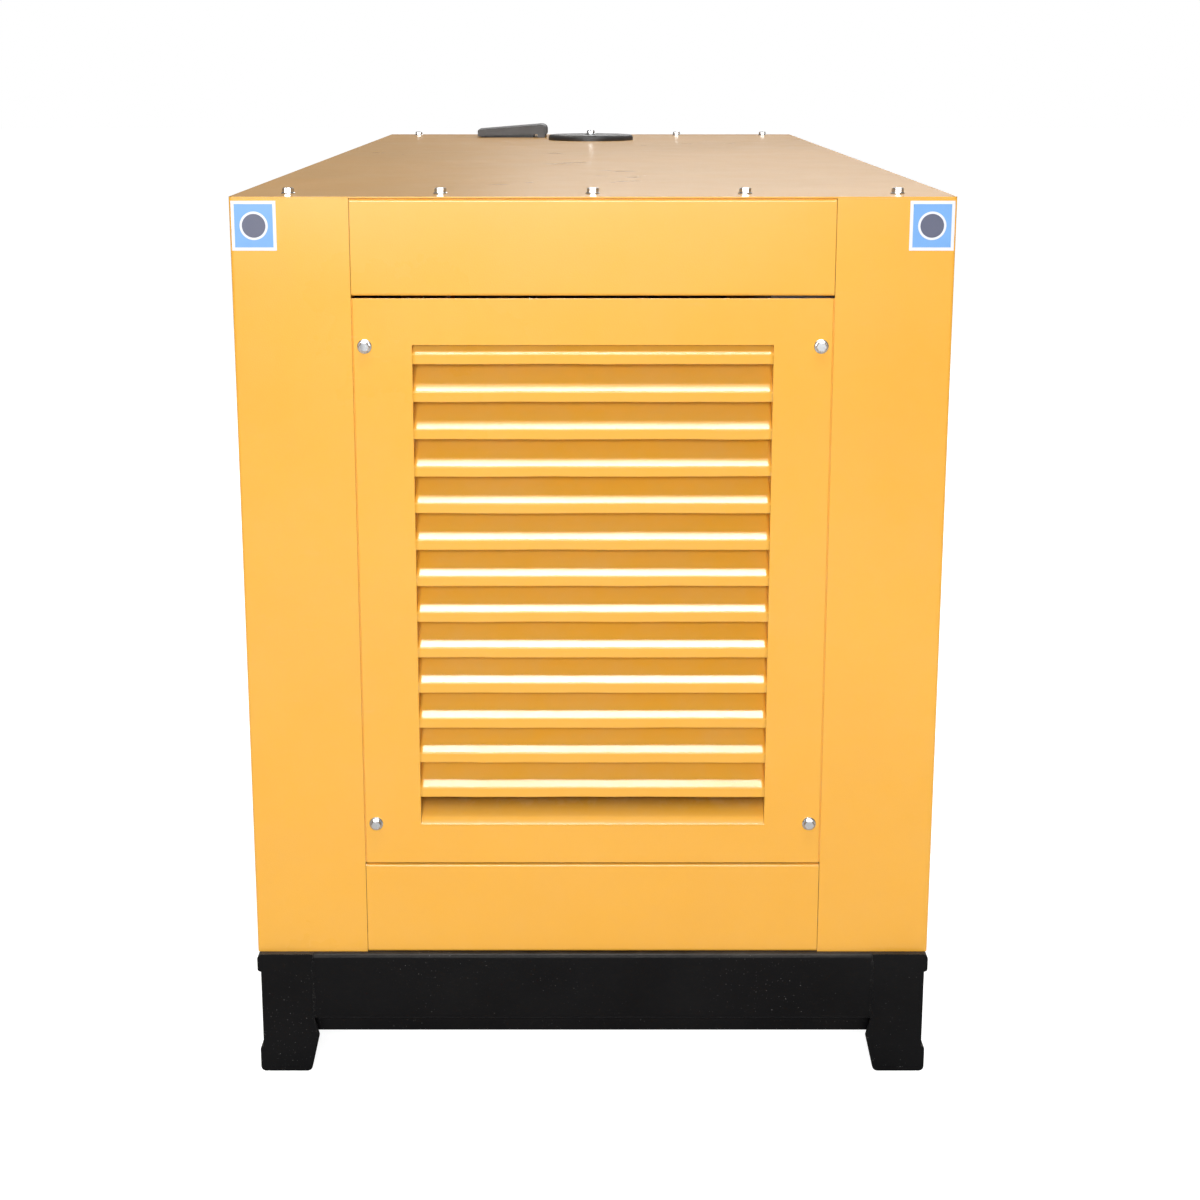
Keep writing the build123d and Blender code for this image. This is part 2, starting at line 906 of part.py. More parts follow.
def door_latch():
    """Quarter-turn latch of the right rear door: grip, shaft and cam, turned open."""
    face = side_x + hinge_skin_gap
    cam_x = stop_x - sheet - latch_cam_gap
    latch = rod_x(latch_shaft_radius, cam_x - latch_cam_sheet, face, -latch_y, latch_height)
    latch += rod_x(latch_rosette_radius, face, face + latch_rosette_height, -latch_y, latch_height)
    grip_x = face + latch_rosette_height
    grip_section = SlotOverall(latch_grip, latch_grip_width, rotation=90)
    latch += along_x(Pos(-latch_y, latch_height) * grip_section, grip_x, grip_x + latch_grip_height)
    cam = block(
        cam_x - latch_cam_sheet,
        cam_x,
        -latch_y - latch_cam_width / 2,
        -latch_y + latch_cam_width / 2,
        latch_height - latch_cam_reach,
        latch_height + latch_cam_width / 2,
    )
    return latch + cam


# Roof fittings


def radiator_cover():
    """Round lift-off cover with a skirt inside the roof hole."""
    cover = rod_z(cover_radius, roof_z, roof_z + cover_height, 0, radiator_y)
    cover = fillet(cover.edges().filter_by(GeomType.CIRCLE).sort_by(Axis.Z)[-1], cover_height * 0.6)
    skirt_radius = cover_hole_radius - cover_skirt_gap
    cover += rod_z(skirt_radius, roof_z - cover_skirt_depth, roof_z, 0, radiator_y)
    cover -= rod_z(
        skirt_radius - cover_skirt_wall, roof_z - cover_skirt_depth, roof_z + cover_skirt_wall, 0, radiator_y
    )
    return cover - rod_z(bolt_hole_radius, roof_z, roof_z + cover_height, 0, radiator_y)


def radiator_cover_bolt():
    """Bolt through the middle of the cover."""
    return Pos(0, radiator_y, roof_z + cover_height) * flange_bolt()


def outlet_space(margin, foot, top):
    """Space inside the exhaust collar, or around it with a margin."""
    return block(
        cap_left + outlet_inset + outlet_wall - margin,
        cap_pin_x - outlet_nose_clearance - outlet_wall + min(margin, outlet_wall),
        cap_near + outlet_inset + outlet_wall - margin,
        cap_far - outlet_inset - outlet_wall + margin,
        foot,
        top,
    )


def exhaust_outlet():
    """Collar round the exhaust hole in the roof, with a flange."""
    collar = outlet_space(outlet_wall, roof_z, roof_z + outlet_collar_height)
    collar += outlet_space(outlet_wall + outlet_flange, roof_z, roof_z + sheet)
    return collar - outlet_space(0, roof_z, roof_z + outlet_collar_height)


def rain_cap_pivot():
    """Two ears on the roof holding the pin that the rain cap turns on."""
    pivot = rod_y(cap_pin_radius, cap_near, cap_far, cap_pin_x, cap_pin_z)
    half = cap_ear_width / 2
    ear_top = cap_pin_z + half
    outline = [
        (cap_pin_x - half, roof_z),
        (cap_pin_x + half, roof_z),
        (cap_pin_x + half, ear_top),
        (cap_pin_x - half, ear_top),
    ]
    ear = rounded_outline(outline, [0, 0, half - 1, half - 1])
    near = cap_near - cap_ear_gap
    far = cap_far + cap_ear_gap
    pivot += rod_y(cap_pin_radius, near - cap_ear_sheet, far + cap_ear_sheet, cap_pin_x, cap_pin_z)
    pivot += along_y(ear, near - cap_ear_sheet, near)
    pivot += along_y(ear, far, far + cap_ear_sheet)
    return pivot


def exhaust_rain_cap():
    """Wedge-shaped hood, open underneath, turning on a pin in its rounded nose."""
    foot = roof_z + cap_ground_gap
    low = roof_z + cap_low
    high = roof_z + cap_high
    nose_foot = roof_z + cap_nose_gap
    nose = cap_nose_radius
    outer = rounded_outline(
        [(cap_left, foot), (cap_right, nose_foot), (cap_right, high), (cap_left, low)], [0, 0, nose, 2]
    )
    inner_left = cap_left + cap_wall
    inner_right = cap_right - cap_wall
    inner = rounded_outline(
        [
            (inner_left, roof_z),
            (inner_right, roof_z),
            (inner_right, high - cap_wall),
            (inner_left, low - cap_wall),
        ],
        [0, 0, nose - cap_wall, 0],
    )
    cap = along_y(outer, cap_near, cap_far) - along_y(inner, cap_near + cap_wall, cap_far - cap_wall)
    return cap - rod_y(cap_pin_radius + running_gap, cap_near, cap_far, cap_pin_x, cap_pin_z)


# Engine and generator


def foot_bracket(centre_y, web_inner, web_top):
    """Right-hand foot: a plate on the rubber mount and a web up to the machine."""
    half = foot_length / 2
    plate = block(web_inner, foot_reach, centre_y - half, centre_y + half, mount_top, mount_top + foot_plate)
    return plate + block(
        web_inner, web_inner + foot_web, centre_y - half, centre_y + half, mount_top, web_top
    )


def generator_housing():
    """Cylindrical alternator frame with end plates, feet and a terminal box."""
    housing = rod_y(generator_radius, generator_back, generator_front, 0, crank_height)
    housing = fillet(housing.edges().filter_by(GeomType.CIRCLE).sort_by(Axis.Y)[0], generator_edge)
    box_near_y = generator_back + terminal_box_from_back
    housing += block(
        -terminal_box_half_width,
        terminal_box_half_width,
        box_near_y,
        box_near_y + terminal_box_length,
        crank_height,
        crank_height + generator_radius + terminal_box_height,
    )
    right_foot = foot_bracket(generator_mount_y, generator_foot_x, crank_height - generator_foot_drop)
    housing += right_foot
    housing += other_side(right_foot)
    bore_back = generator_back + generator_end_plate
    bore_front = generator_front - generator_end_plate
    housing -= rod_y(generator_bore, bore_back, bore_front, 0, crank_height)
    return housing - rod_y(shaft_radius + bearing_gap, generator_back, generator_front, 0, crank_height)


def generator_rotor():
    """Wound rotor on the shaft inside the alternator."""
    back = generator_back + generator_end_plate + rotor_margin
    front = generator_front - generator_end_plate - rotor_margin
    rotor = rod_y(rotor_radius, back, front, 0, crank_height)
    return rotor - rod_y(shaft_radius, back, front, 0, crank_height)


def flywheel_housing():
    """Bell housing between the alternator and the engine."""
    bell = rod_y(bell_radius, generator_front, bell_front, 0, crank_height)
    bell -= rod_y(bell_bore, generator_front, bell_front - bell_plate, 0, crank_height)
    return bell - rod_y(shaft_radius + bearing_gap, generator_front, bell_front, 0, crank_height)


def flywheel():
    """Flywheel on the shaft inside the bell housing."""
    back = (generator_front + bell_front - bell_plate - flywheel_thickness) / 2
    front = back + flywheel_thickness
    wheel = rod_y(flywheel_radius, back, front, 0, crank_height)
    return wheel - rod_y(shaft_radius, back, front, 0, crank_height)


def crankshaft():
    """Plain shaft from the alternator's rear end plate to the front pulley."""
    back = generator_back + generator_end_plate / 2
    return rod_y(shaft_radius, back, pulley_front, 0, crank_height)


def crank_pulley():
    pulley = rod_y(crank_pulley_radius, pulley_back, pulley_front, 0, crank_height)
    return pulley - rod_y(shaft_radius, pulley_back, pulley_front, 0, crank_height)


def engine_block():
    """Cylinder block with its feet and water pump housing."""
    engine = block(
        -block_half_width, block_half_width, bell_front, block_front, block_bottom, block_top
    )
    engine = fillet(engine.edges().filter_by(Axis.Y), block_edge)
    right_foot = foot_bracket(block_front, sump_half_width + engine_foot_gap, block_bottom + engine_foot_rise)
    right_foot -= block(0, foot_reach, block_front, block_front + foot_length, mount_top + foot_plate, block_top)
    engine += right_foot
    engine += other_side(right_foot)
    engine += rod_y(water_pump_radius, block_front, block_front + water_pump_length, 0, fan_height)
    engine -= block(
        -crankcase_half_width,
        crankcase_half_width,
        bell_front + crankcase_wall,
        block_front - crankcase_wall,
        block_bottom,
        block_bottom + crankcase_height,
    )
    return engine - rod_y(shaft_radius + bearing_gap, bell_front, block_front, 0, crank_height)


def oil_sump():
    """Pressed oil pan under the block."""
    pan = block(
        -sump_half_width,
        sump_half_width,
        bell_front + sump_inset,
        block_front - foot_length / 2 - sump_inset,
        sump_bottom,
        block_bottom,
    )
    pan = fillet(pan.edges().group_by(Axis.Z)[0], sump_corner)
    inner_x = sump_half_width - sump_wall
    back = bell_front + sump_inset + sump_wall
    front = block_front - foot_length / 2 - sump_inset - sump_wall
    well = block(-inner_x, inner_x, back, front, sump_bottom + sump_wall, block_bottom)
    return pan - fillet(well.edges().group_by(Axis.Z)[0], sump_corner - sump_wall)


def cylinder_head():
    """Cylinder head with its rocker cover."""
    head_top = block_top + head_height
    head = block(
        -head_half_width, head_half_width, bell_front + head_inset, block_front - head_inset, block_top, head_top
    )
    cover = block(
        -rocker_half_width,
        rocker_half_width,
        bell_front + 2 * head_inset,
        block_front - 2 * head_inset,
        head_top,
        head_top + rocker_height,
    )
    cover = fillet(cover.edges().group_by(Axis.Z)[-1], rocker_corner)
    return head + cover


def belt_loop(extra):
    """Outline of the belt: the hull of two circles round the pulleys."""
    low = Pos(0, crank_height) * Circle(crank_pulley_radius + extra)
    high = Pos(0, fan_height) * Circle(fan_pulley_radius + extra)
    return make_hull([*low.edges(), *high.edges()])


def fan_belt():
    """Belt round the crank pulley and the fan pulley."""
    middle = (pulley_back + pulley_front) / 2
    back = middle - belt_width / 2
    front = middle + belt_width / 2
    outer = along_y(belt_loop(belt_gap + belt_thickness), back, front)
    return outer - along_y(belt_loop(belt_gap), back, front)


def cooling_fan():
    """Fan with its hub, shaft and belt pulley."""
    back = fan_y - fan_width / 2
    front = fan_y + fan_width / 2
    fan = rod_y(fan_hub_radius, back, front, 0, fan_height)
    fan += rod_y(fan_pulley_radius, pulley_back, pulley_front, 0, fan_height)
    fan += rod_y(fan_shaft_radius, pulley_back, front, 0, fan_height)
    blade_length = fan_radius - fan_hub_radius + fan_blade_root
    blade = Box(blade_length, fan_blade_chord, fan_blade_thickness)
    pitched = Pos(fan_hub_radius - fan_blade_root + blade_length / 2, 0, 0) * Rot(fan_blade_pitch, 0, 0) * blade
    disc = rod_y(fan_radius, back, front, 0, fan_height)
    blades = []
    for number in range(fan_blades):
        turn = Rot(0, number * 360 / fan_blades, 0)
        blades.append(Pos(0, fan_y, fan_height) * turn * pitched)
    return fan + [one & disc for one in blades]


def fan_shroud():
    """Funnel from the radiator face to a ring round the fan."""
    radiator_face = radiator_y - radiator_tank_depth / 2
    front_y = radiator_face - shroud_front_gap
    shroud = block(
        -shroud_half_width, shroud_half_width, front_y, radiator_face, shroud_bottom, shroud_top
    )
    shroud -= block(
        -shroud_half_width + shroud_wall,
        shroud_half_width - shroud_wall,
        front_y + shroud_wall,
        radiator_face,
        shroud_bottom + shroud_wall,
        shroud_top - shroud_wall,
    )
    ring_back = front_y - shroud_ring_length
    shroud += rod_y(shroud_ring_radius + shroud_wall, ring_back, front_y + shroud_wall, 0, fan_height)
    return shroud - rod_y(shroud_ring_radius, ring_back, front_y + shroud_wall, 0, fan_height)


def radiator():
    """Radiator on the base: core, side frames, two tanks and the filler neck."""
    half_core = radiator_core_depth / 2
    half_tank = radiator_tank_depth / 2
    core_x = radiator_half_width - radiator_side
    low_top = base_height + radiator_tank_height
    high_foot = radiator_top - radiator_tank_height
    body = block(-core_x, core_x, radiator_y - half_core, radiator_y + half_core, low_top, high_foot)
    for foot, top in ((base_height, low_top), (high_foot, radiator_top)):
        body += block(
            -radiator_half_width, radiator_half_width, radiator_y - half_tank, radiator_y + half_tank, foot, top
        )
    for side in (-1, 1):
        inner = side * core_x
        outer = side * radiator_half_width
        body += block(inner, outer, radiator_y - half_tank, radiator_y + half_tank, low_top, high_foot)
    return body + rod_z(radiator_neck_radius, radiator_top, radiator_neck_top, 0, radiator_y)


def exhaust_system():
    """Manifold, pipe past the radiator, muffler on straps and the pipe to the roof."""
    manifold_x = -head_half_width - manifold_depth
    system = block(
        manifold_x,
        -head_half_width,
        exhaust_port_y + exhaust_radius - manifold_length,
        exhaust_port_y + exhaust_radius,
        exhaust_port_z - manifold_height / 2,
        exhaust_port_z + manifold_height / 2,
    )
    route = FilletPolyline(
        (manifold_x + exhaust_joint, exhaust_port_y, exhaust_port_z),
        (exhaust_side, exhaust_port_y, exhaust_port_z),
        (exhaust_side, muffler_y, exhaust_port_z),
        (exhaust_side, muffler_y, muffler_z),
        (-muffler_half_length + exhaust_joint, muffler_y, muffler_z),
        radius=exhaust_bend,
    )
    start = Plane(origin=route @ 0, z_dir=route % 0)
    system += sweep(start * Circle(exhaust_radius), path=route)
    system += rod_x(muffler_radius, -muffler_half_length, muffler_half_length, muffler_y, muffler_z)
    system += rod_z(exhaust_radius, muffler_z, roof_z, outlet_x, muffler_y)
    for strap_x in (-muffler_half_length * 0.3, muffler_half_length * 0.7):
        system += block(
            strap_x - strap_width / 2,
            strap_x + strap_width / 2,
            muffler_y - strap_thickness / 2,
            muffler_y + strap_thickness / 2,
            muffler_z,
            under_roof,
        )
    inner_length = muffler_half_length - muffler_wall
    inner_radius = muffler_radius - muffler_wall
    system -= rod_x(inner_radius, -inner_length, inner_length, muffler_y, muffler_z)
    return system - rod_z(exhaust_radius - muffler_wall, muffler_z, roof_z, outlet_x, muffler_y)


def air_cleaner():
    """Canister air cleaner with its intake pipe to the cylinder head."""
    front = air_cleaner_back + air_cleaner_length
    canister = rod_y(air_cleaner_radius, air_cleaner_back, front, air_cleaner_x, air_cleaner_z)
    canister = fillet(canister.edges().filter_by(GeomType.CIRCLE), air_cleaner_edge)
    intake_z = block_top + head_height / 2
    return canister + rod_x(intake_radius, head_half_width, air_cleaner_x, intake_y, intake_z)


def vibration_mounts():
    """Rubber mounts between the crossmembers and the machine's feet."""
    mounts = []
    for mount_y in (generator_mount_y, block_front):
        for side in (-1, 1):
            mounts.append(rod_z(mount_radius, base_height, mount_top, side * mount_x, mount_y))
    return mounts


# Battery and controls


def battery():
    """Starter battery on a tray that spans the rear crossmembers."""
    outer = battery_outer
    inner = battery_outer + battery_length
    y0 = battery_y - battery_width / 2
    y1 = battery_y + battery_width / 2
    tray_foot = base_height + sheet
    foot = tray_foot + battery_tray
    top = foot + battery_height
    case = block(outer, inner, y0, y1, foot, top)
    case = fillet(case.edges().filter_by(Axis.Z), battery_corner)
    tray_far = inner_member_places()[0]
    tray_near = -end_y + roof_flange - battery_tray_lap
    case += block(outer - battery_tray_rim, inner + battery_tray_rim, tray_near, tray_far, tray_foot, foot)
    for post_x in (outer + battery_post_inset, inner - battery_post_inset):
        case += rod_z(battery_post_radius, top, top + battery_post_height, post_x, y0 + battery_post_inset)
    return case


def control_box():
    """Sheet-metal box on two legs, open towards the door."""
    box = block(box_back_x, box_front_x, box_near, box_far, box_bottom, box_top)
    box -= block(
        box_back_x + box_sheet,
        box_front_x,
        box_near + box_sheet,
        box_far - box_sheet,
        box_bottom + box_sheet,
        box_top - box_sheet,
    )
    for leg_y in (box_near, box_far - box_leg):
        box += block(box_front_x - box_leg, box_front_x, leg_y, leg_y + box_leg, base_height, box_bottom)
    return box


def control_fascia():
    """Front plate of the control box, with the holes for what is fitted in it."""
    plate = block(box_front_x, fascia_x, box_near, box_far, box_bottom, box_top)
    plate -= rod_x(key_radius - key_step + running_gap, box_front_x, fascia_x, key_y, key_z)
    return plate - rod_x(stop_neck_radius + running_gap, box_front_x, fascia_x, stop_y, stop_z)


def controller():
    """Engine controller: a flat module with its screen and keypad facing the door."""
    half_width = controller_width / 2
    half_height = controller_height / 2
    module = block(
        fascia_x,
        fascia_x + controller_depth,
        controller_y - half_width,
        controller_y + half_width,
        controller_z - half_height,
        controller_z + half_height,
    )
    return fillet(module.edges().filter_by(Axis.X), controller_corner)


def circuit_breaker():
    """Breaker front with the slot that its lever stands in."""
    half_width = breaker_width / 2
    half_height = breaker_height / 2
    body = block(
        fascia_x,
        fascia_x + breaker_depth,
        breaker_y - half_width,
        breaker_y + half_width,
        breaker_z - half_height,
        breaker_z + half_height,
    )
    slot_half = toggle_width / 2 + toggle_side_gap
    slot_height = toggle_length
    return body - block(
        fascia_x + breaker_depth - toggle_slot,
        fascia_x + breaker_depth,
        breaker_y - slot_half,
        breaker_y + slot_half,
        breaker_z - slot_height,
        breaker_z + slot_height,
    )


def breaker_toggle():
    """Lever that tips up and down on a pivot at the slot's mouth."""
    pivot_x = fascia_x + breaker_depth - toggle_thickness / 2
    y0 = breaker_y - toggle_width / 2
    y1 = breaker_y + toggle_width / 2
    lever = block(
        pivot_x, pivot_x + toggle_length, y0, y1, breaker_z - toggle_thickness / 2, breaker_z + toggle_thickness / 2
    )
    return lever + along_y(Pos(pivot_x, breaker_z) * Circle(toggle_thickness / 2), y0, y1)


def key_switch():
    """Key barrel in the fascia with its key."""
    flange_back = fascia_x + key_flange_gap
    flange_front = flange_back + key_flange
    half_thickness = key_bow_thickness / 2
    half_width = key_bow_width / 2
    barrel = rod_x(key_radius - key_step, box_front_x, flange_back, key_y, key_z)
    barrel += rod_x(key_radius, flange_back, flange_front, key_y, key_z)
    return barrel + block(
        flange_front,
        flange_front + key_bow_length,
        key_y - half_thickness,
        key_y + half_thickness,
        key_z - half_width,
        key_z + half_width,
    )


def stop_button():
    """Mushroom-headed emergency stop button."""
    neck_end = fascia_x + stop_travel + stop_clearance
    button = rod_x(stop_neck_radius, box_front_x, neck_end, stop_y, stop_z)
    head = rod_x(stop_radius, neck_end - stop_head_under, neck_end + stop_head_over, stop_y, stop_z)
    return button + fillet(head.edges().filter_by(GeomType.CIRCLE).sort_by(Axis.X)[-1], stop_head_edge)


def inner_member_places():
    """Crossmembers under the battery, both pairs of mounts and the radiator."""
    return (battery_y + battery_width / 2 + 20, generator_mount_y, block_front, radiator_y)


def write_base():
    right_rail = base_rail()
    save("base_rail_right", right_rail)
    save("base_rail_left", other_side(right_rail))
    save("end_crossmembers", end_crossmember(), other_end(end_crossmember()))
    save("inner_crossmembers", *[inner_crossmember(y) for y in inner_member_places()])
    save("fork_pockets", fork_pocket(-pocket_spacing / 2), fork_pocket(pocket_spacing / 2))
    save("fuel_tank", fuel_tank())
    save("fuel_cap", fuel_cap())


def write_canopy():
    post = corner_post()
    save("corner_post_rear_right", post)
    save("corner_post_rear_left", other_side(post))
    save("corner_post_front_right", other_end(post))
    save("corner_post_front_left", other_side(other_end(post)))
    save("end_headers", end_header(), other_end(end_header()))
    save("end_sills", end_sill(), other_end(end_sill()))
    panel = louvre_panel()
    save("rear_louvre_panel", panel)
    save("front_louvre_panel", other_end(panel))
    save("canopy_bolts", *roof_bolts(), *panel_bolts())
    save("roof_panel", roof_panel())
    for name, piece in (
        ("side_top_rails", side_top_rail()),
        ("side_sills", side_sill()),
        ("centre_posts", centre_post()),
    ):
        save(name, piece, other_side(piece))
    save("radiator_cover", radiator_cover(), radiator_cover_bolt())
    save("exhaust_outlet", exhaust_outlet(), rain_cap_pivot())
    save("exhaust_rain_cap", exhaust_rain_cap())


def write_doors():
    frame_halves = [hinge_frame_half(z) for z in hinge_places()]
    all_halves = []
    for half in frame_halves:
        all_halves += [half, other_side(half), other_end(half), other_side(other_end(half))]
    save("hinge_pins", *all_halves)
    plain = {"door": door(), "door_liner": door_liner(), "door_latch": door_latch()}
    for name, piece in plain.items():
        rear_right = piece
        if name == "door":
            rear_right = piece - window_space(side_x - door_sheet, side_x, 0)
        if name == "door_liner":
            rear_right = piece - window_space(side_x - door_depth - liner_thickness, side_x, 2 * glass_overlap)
        save(f"{name}_rear_right", rear_right)
        save(f"{name}_rear_left", other_side(piece))
        save(f"{name}_front_right", other_end(piece))
        save(f"{name}_front_left", other_side(other_end(piece)))
    save("door_window", door_window())


def write_machine():
    save("engine_block", engine_block())
    save("oil_sump", oil_sump())
    save("cylinder_head", cylinder_head())
    save("flywheel_housing", flywheel_housing())
    save("flywheel", flywheel())
    save("crankshaft", crankshaft())
    save("crank_pulley", crank_pulley())
    save("fan_belt", fan_belt())
    save("cooling_fan", cooling_fan())
    save("fan_shroud", fan_shroud())
    save("radiator", radiator())
    save("generator_housing", generator_housing())
    save("generator_rotor", generator_rotor())
    save("vibration_mounts", *vibration_mounts())
    save("exhaust_system", exhaust_system())
    save("air_cleaner", air_cleaner())
    save("battery", battery())


def write_controls():
    save("control_box", control_box(), control_fascia())
    save("controller", controller())
    save("circuit_breaker", circuit_breaker())
    save("breaker_toggle", breaker_toggle())
    save("key_switch", key_switch())
    save("stop_button", stop_button())


write_base()
write_canopy()
write_doors()
write_machine()
write_controls()
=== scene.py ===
import json
import math

import bmesh
import bpy
from mathutils import Matrix, Vector, noise


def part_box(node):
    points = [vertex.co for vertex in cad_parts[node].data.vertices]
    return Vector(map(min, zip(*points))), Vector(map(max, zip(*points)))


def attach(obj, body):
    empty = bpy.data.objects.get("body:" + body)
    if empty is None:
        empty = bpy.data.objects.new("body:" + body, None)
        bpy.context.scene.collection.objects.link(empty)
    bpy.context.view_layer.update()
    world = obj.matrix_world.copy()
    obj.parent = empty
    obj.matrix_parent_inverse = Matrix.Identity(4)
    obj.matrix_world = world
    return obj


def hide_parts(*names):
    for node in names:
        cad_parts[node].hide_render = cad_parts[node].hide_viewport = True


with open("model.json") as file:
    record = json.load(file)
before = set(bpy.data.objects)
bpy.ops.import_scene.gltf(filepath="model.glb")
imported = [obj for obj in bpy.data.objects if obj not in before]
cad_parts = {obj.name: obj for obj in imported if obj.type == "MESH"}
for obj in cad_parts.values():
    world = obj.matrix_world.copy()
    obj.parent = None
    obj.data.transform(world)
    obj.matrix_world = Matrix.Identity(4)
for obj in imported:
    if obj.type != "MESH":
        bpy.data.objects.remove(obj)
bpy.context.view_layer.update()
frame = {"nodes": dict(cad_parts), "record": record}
collection = bpy.context.scene.collection
mm = 0.001
print("stage: frame loaded")


# small helpers

def addInput(tree, name, kind, value=None):
    socket = tree.interface.new_socket(name=name, in_out="INPUT", socket_type=kind)
    if value is not None:
        socket.default_value = value
    return socket


def addOutput(tree, name, kind):
    return tree.interface.new_socket(name=name, in_out="OUTPUT", socket_type=kind)


def addMath(tree, operation, first, second=None, clamp=False):
    # a value or a socket on either side
    node = tree.nodes.new("ShaderNodeMath")
    node.operation = operation
    node.use_clamp = clamp
    for place, source in enumerate((first, second)):
        if source is None:
            continue
        if isinstance(source, (int, float)):
            node.inputs[place].default_value = source
        else:
            tree.links.new(source, node.inputs[place])
    return node.outputs[0]


def addVectorMath(tree, operation, first, second=None):
    node = tree.nodes.new("ShaderNodeVectorMath")
    node.operation = operation
    for place, source in enumerate((first, second)):
        if source is None:
            continue
        if isinstance(source, (tuple, Vector)):
            node.inputs[place].default_value = source
        else:
            tree.links.new(source, node.inputs[place])
    return node.outputs[0]


def addRange(tree, value, fromLow, fromHigh, toLow=0.0, toHigh=1.0):
    node = tree.nodes.new("ShaderNodeMapRange")
    tree.links.new(value, node.inputs["Value"])
    node.inputs["From Min"].default_value = fromLow
    node.inputs["From Max"].default_value = fromHigh
    node.inputs["To Min"].default_value = toLow
    node.inputs["To Max"].default_value = toHigh
    return node.outputs["Result"]


def addNoise(tree, coordinates, scale, detail=2.0, roughness=0.5):
    node = tree.nodes.new("ShaderNodeTexNoise")
    tree.links.new(coordinates, node.inputs["Vector"])
    if isinstance(scale, (int, float)):
        node.inputs["Scale"].default_value = scale
    else:
        tree.links.new(scale, node.inputs["Scale"])
    node.inputs["Detail"].default_value = detail
    node.inputs["Roughness"].default_value = roughness
    return node.outputs["Fac"]


def mixColours(tree, mask, under, over):
    node = tree.nodes.new("ShaderNodeMix")
    node.data_type = "RGBA"
    for place, source in ((0, mask), (6, under), (7, over)):
        if isinstance(source, (int, float, tuple)):
            node.inputs[place].default_value = source
        else:
            tree.links.new(source, node.inputs[place])
    return node.outputs[2]


# shader groups

def peelGroup():
    # fine skin of a sprayed or cast surface, with a slow ripple of the sheet under it
    tree = bpy.data.node_groups.new("paintPeel", "ShaderNodeTree")
    addInput(tree, "Grain Scale", "NodeSocketFloat", 900.0)
    addInput(tree, "Grain Depth", "NodeSocketFloat", 0.5)
    addInput(tree, "Ripple Depth", "NodeSocketFloat", 0.5)
    addOutput(tree, "Height", "NodeSocketFloat")
    given, made = tree.nodes.new("NodeGroupInput"), tree.nodes.new("NodeGroupOutput")
    place = tree.nodes.new("ShaderNodeTexCoord").outputs["Object"]
    fine = addNoise(tree, place, given.outputs["Grain Scale"], 1.5, 0.45)
    slow = addNoise(tree, place, 5.0, 1.0, 0.4)
    fine = addMath(tree, "MULTIPLY", fine, given.outputs["Grain Depth"])
    slow = addMath(tree, "MULTIPLY", slow, given.outputs["Ripple Depth"])
    tree.links.new(addMath(tree, "ADD", fine, slow), made.inputs["Height"])
    return tree


def edgeGroup():
    # worn outer edges, broken up so that the line isn't even
    tree = bpy.data.node_groups.new("edgeWear", "ShaderNodeTree")
    addInput(tree, "Radius", "NodeSocketFloat", 0.0015)
    addInput(tree, "Amount", "NodeSocketFloat", 0.5)
    addOutput(tree, "Mask", "NodeSocketFloat")
    addOutput(tree, "Normal", "NodeSocketVector")
    given, made = tree.nodes.new("NodeGroupInput"), tree.nodes.new("NodeGroupOutput")
    bevel = tree.nodes.new("ShaderNodeBevel")
    bevel.samples = 4
    tree.links.new(given.outputs["Radius"], bevel.inputs["Radius"])
    surface = tree.nodes.new("ShaderNodeNewGeometry")
    dot = tree.nodes.new("ShaderNodeVectorMath")
    dot.operation = "DOT_PRODUCT"
    tree.links.new(bevel.outputs["Normal"], dot.inputs[0])
    tree.links.new(surface.outputs["True Normal"], dot.inputs[1])
    turned = addRange(tree, dot.outputs["Value"], 0.995, 0.80)
    place = tree.nodes.new("ShaderNodeTexCoord").outputs["Object"]
    broken = addRange(tree, addNoise(tree, place, 38.0, 6.0, 0.7), 0.50, 0.66)
    mask = addMath(tree, "MULTIPLY", turned, broken)
    mask = addMath(tree, "MULTIPLY", mask, given.outputs["Amount"], clamp=True)
    tree.links.new(mask, made.inputs["Mask"])
    tree.links.new(bevel.outputs["Normal"], made.inputs["Normal"])
    return tree


def dustGroup():
    # dust that settles on what faces up, and a thin film in patches elsewhere
    tree = bpy.data.node_groups.new("settledDust", "ShaderNodeTree")
    addInput(tree, "Amount", "NodeSocketFloat", 0.3)
    addInput(tree, "Film", "NodeSocketFloat", 0.05)
    addOutput(tree, "Mask", "NodeSocketFloat")
    given, made = tree.nodes.new("NodeGroupInput"), tree.nodes.new("NodeGroupOutput")
    coordinates = tree.nodes.new("ShaderNodeTexCoord")
    parts = tree.nodes.new("ShaderNodeSeparateXYZ")
    tree.links.new(coordinates.outputs["Normal"], parts.inputs[0])
    up = addRange(tree, parts.outputs["Z"], 0.25, 0.95)
    patches = addRange(tree, addNoise(tree, coordinates.outputs["Object"], 11.0, 7.0, 0.65), 0.36, 0.68)
    top = addMath(tree, "MULTIPLY", addMath(tree, "MULTIPLY", up, patches), given.outputs["Amount"])
    film = addMath(tree, "MULTIPLY", patches, given.outputs["Film"])
    tree.links.new(addMath(tree, "ADD", top, film, clamp=True), made.inputs["Mask"])
    return tree


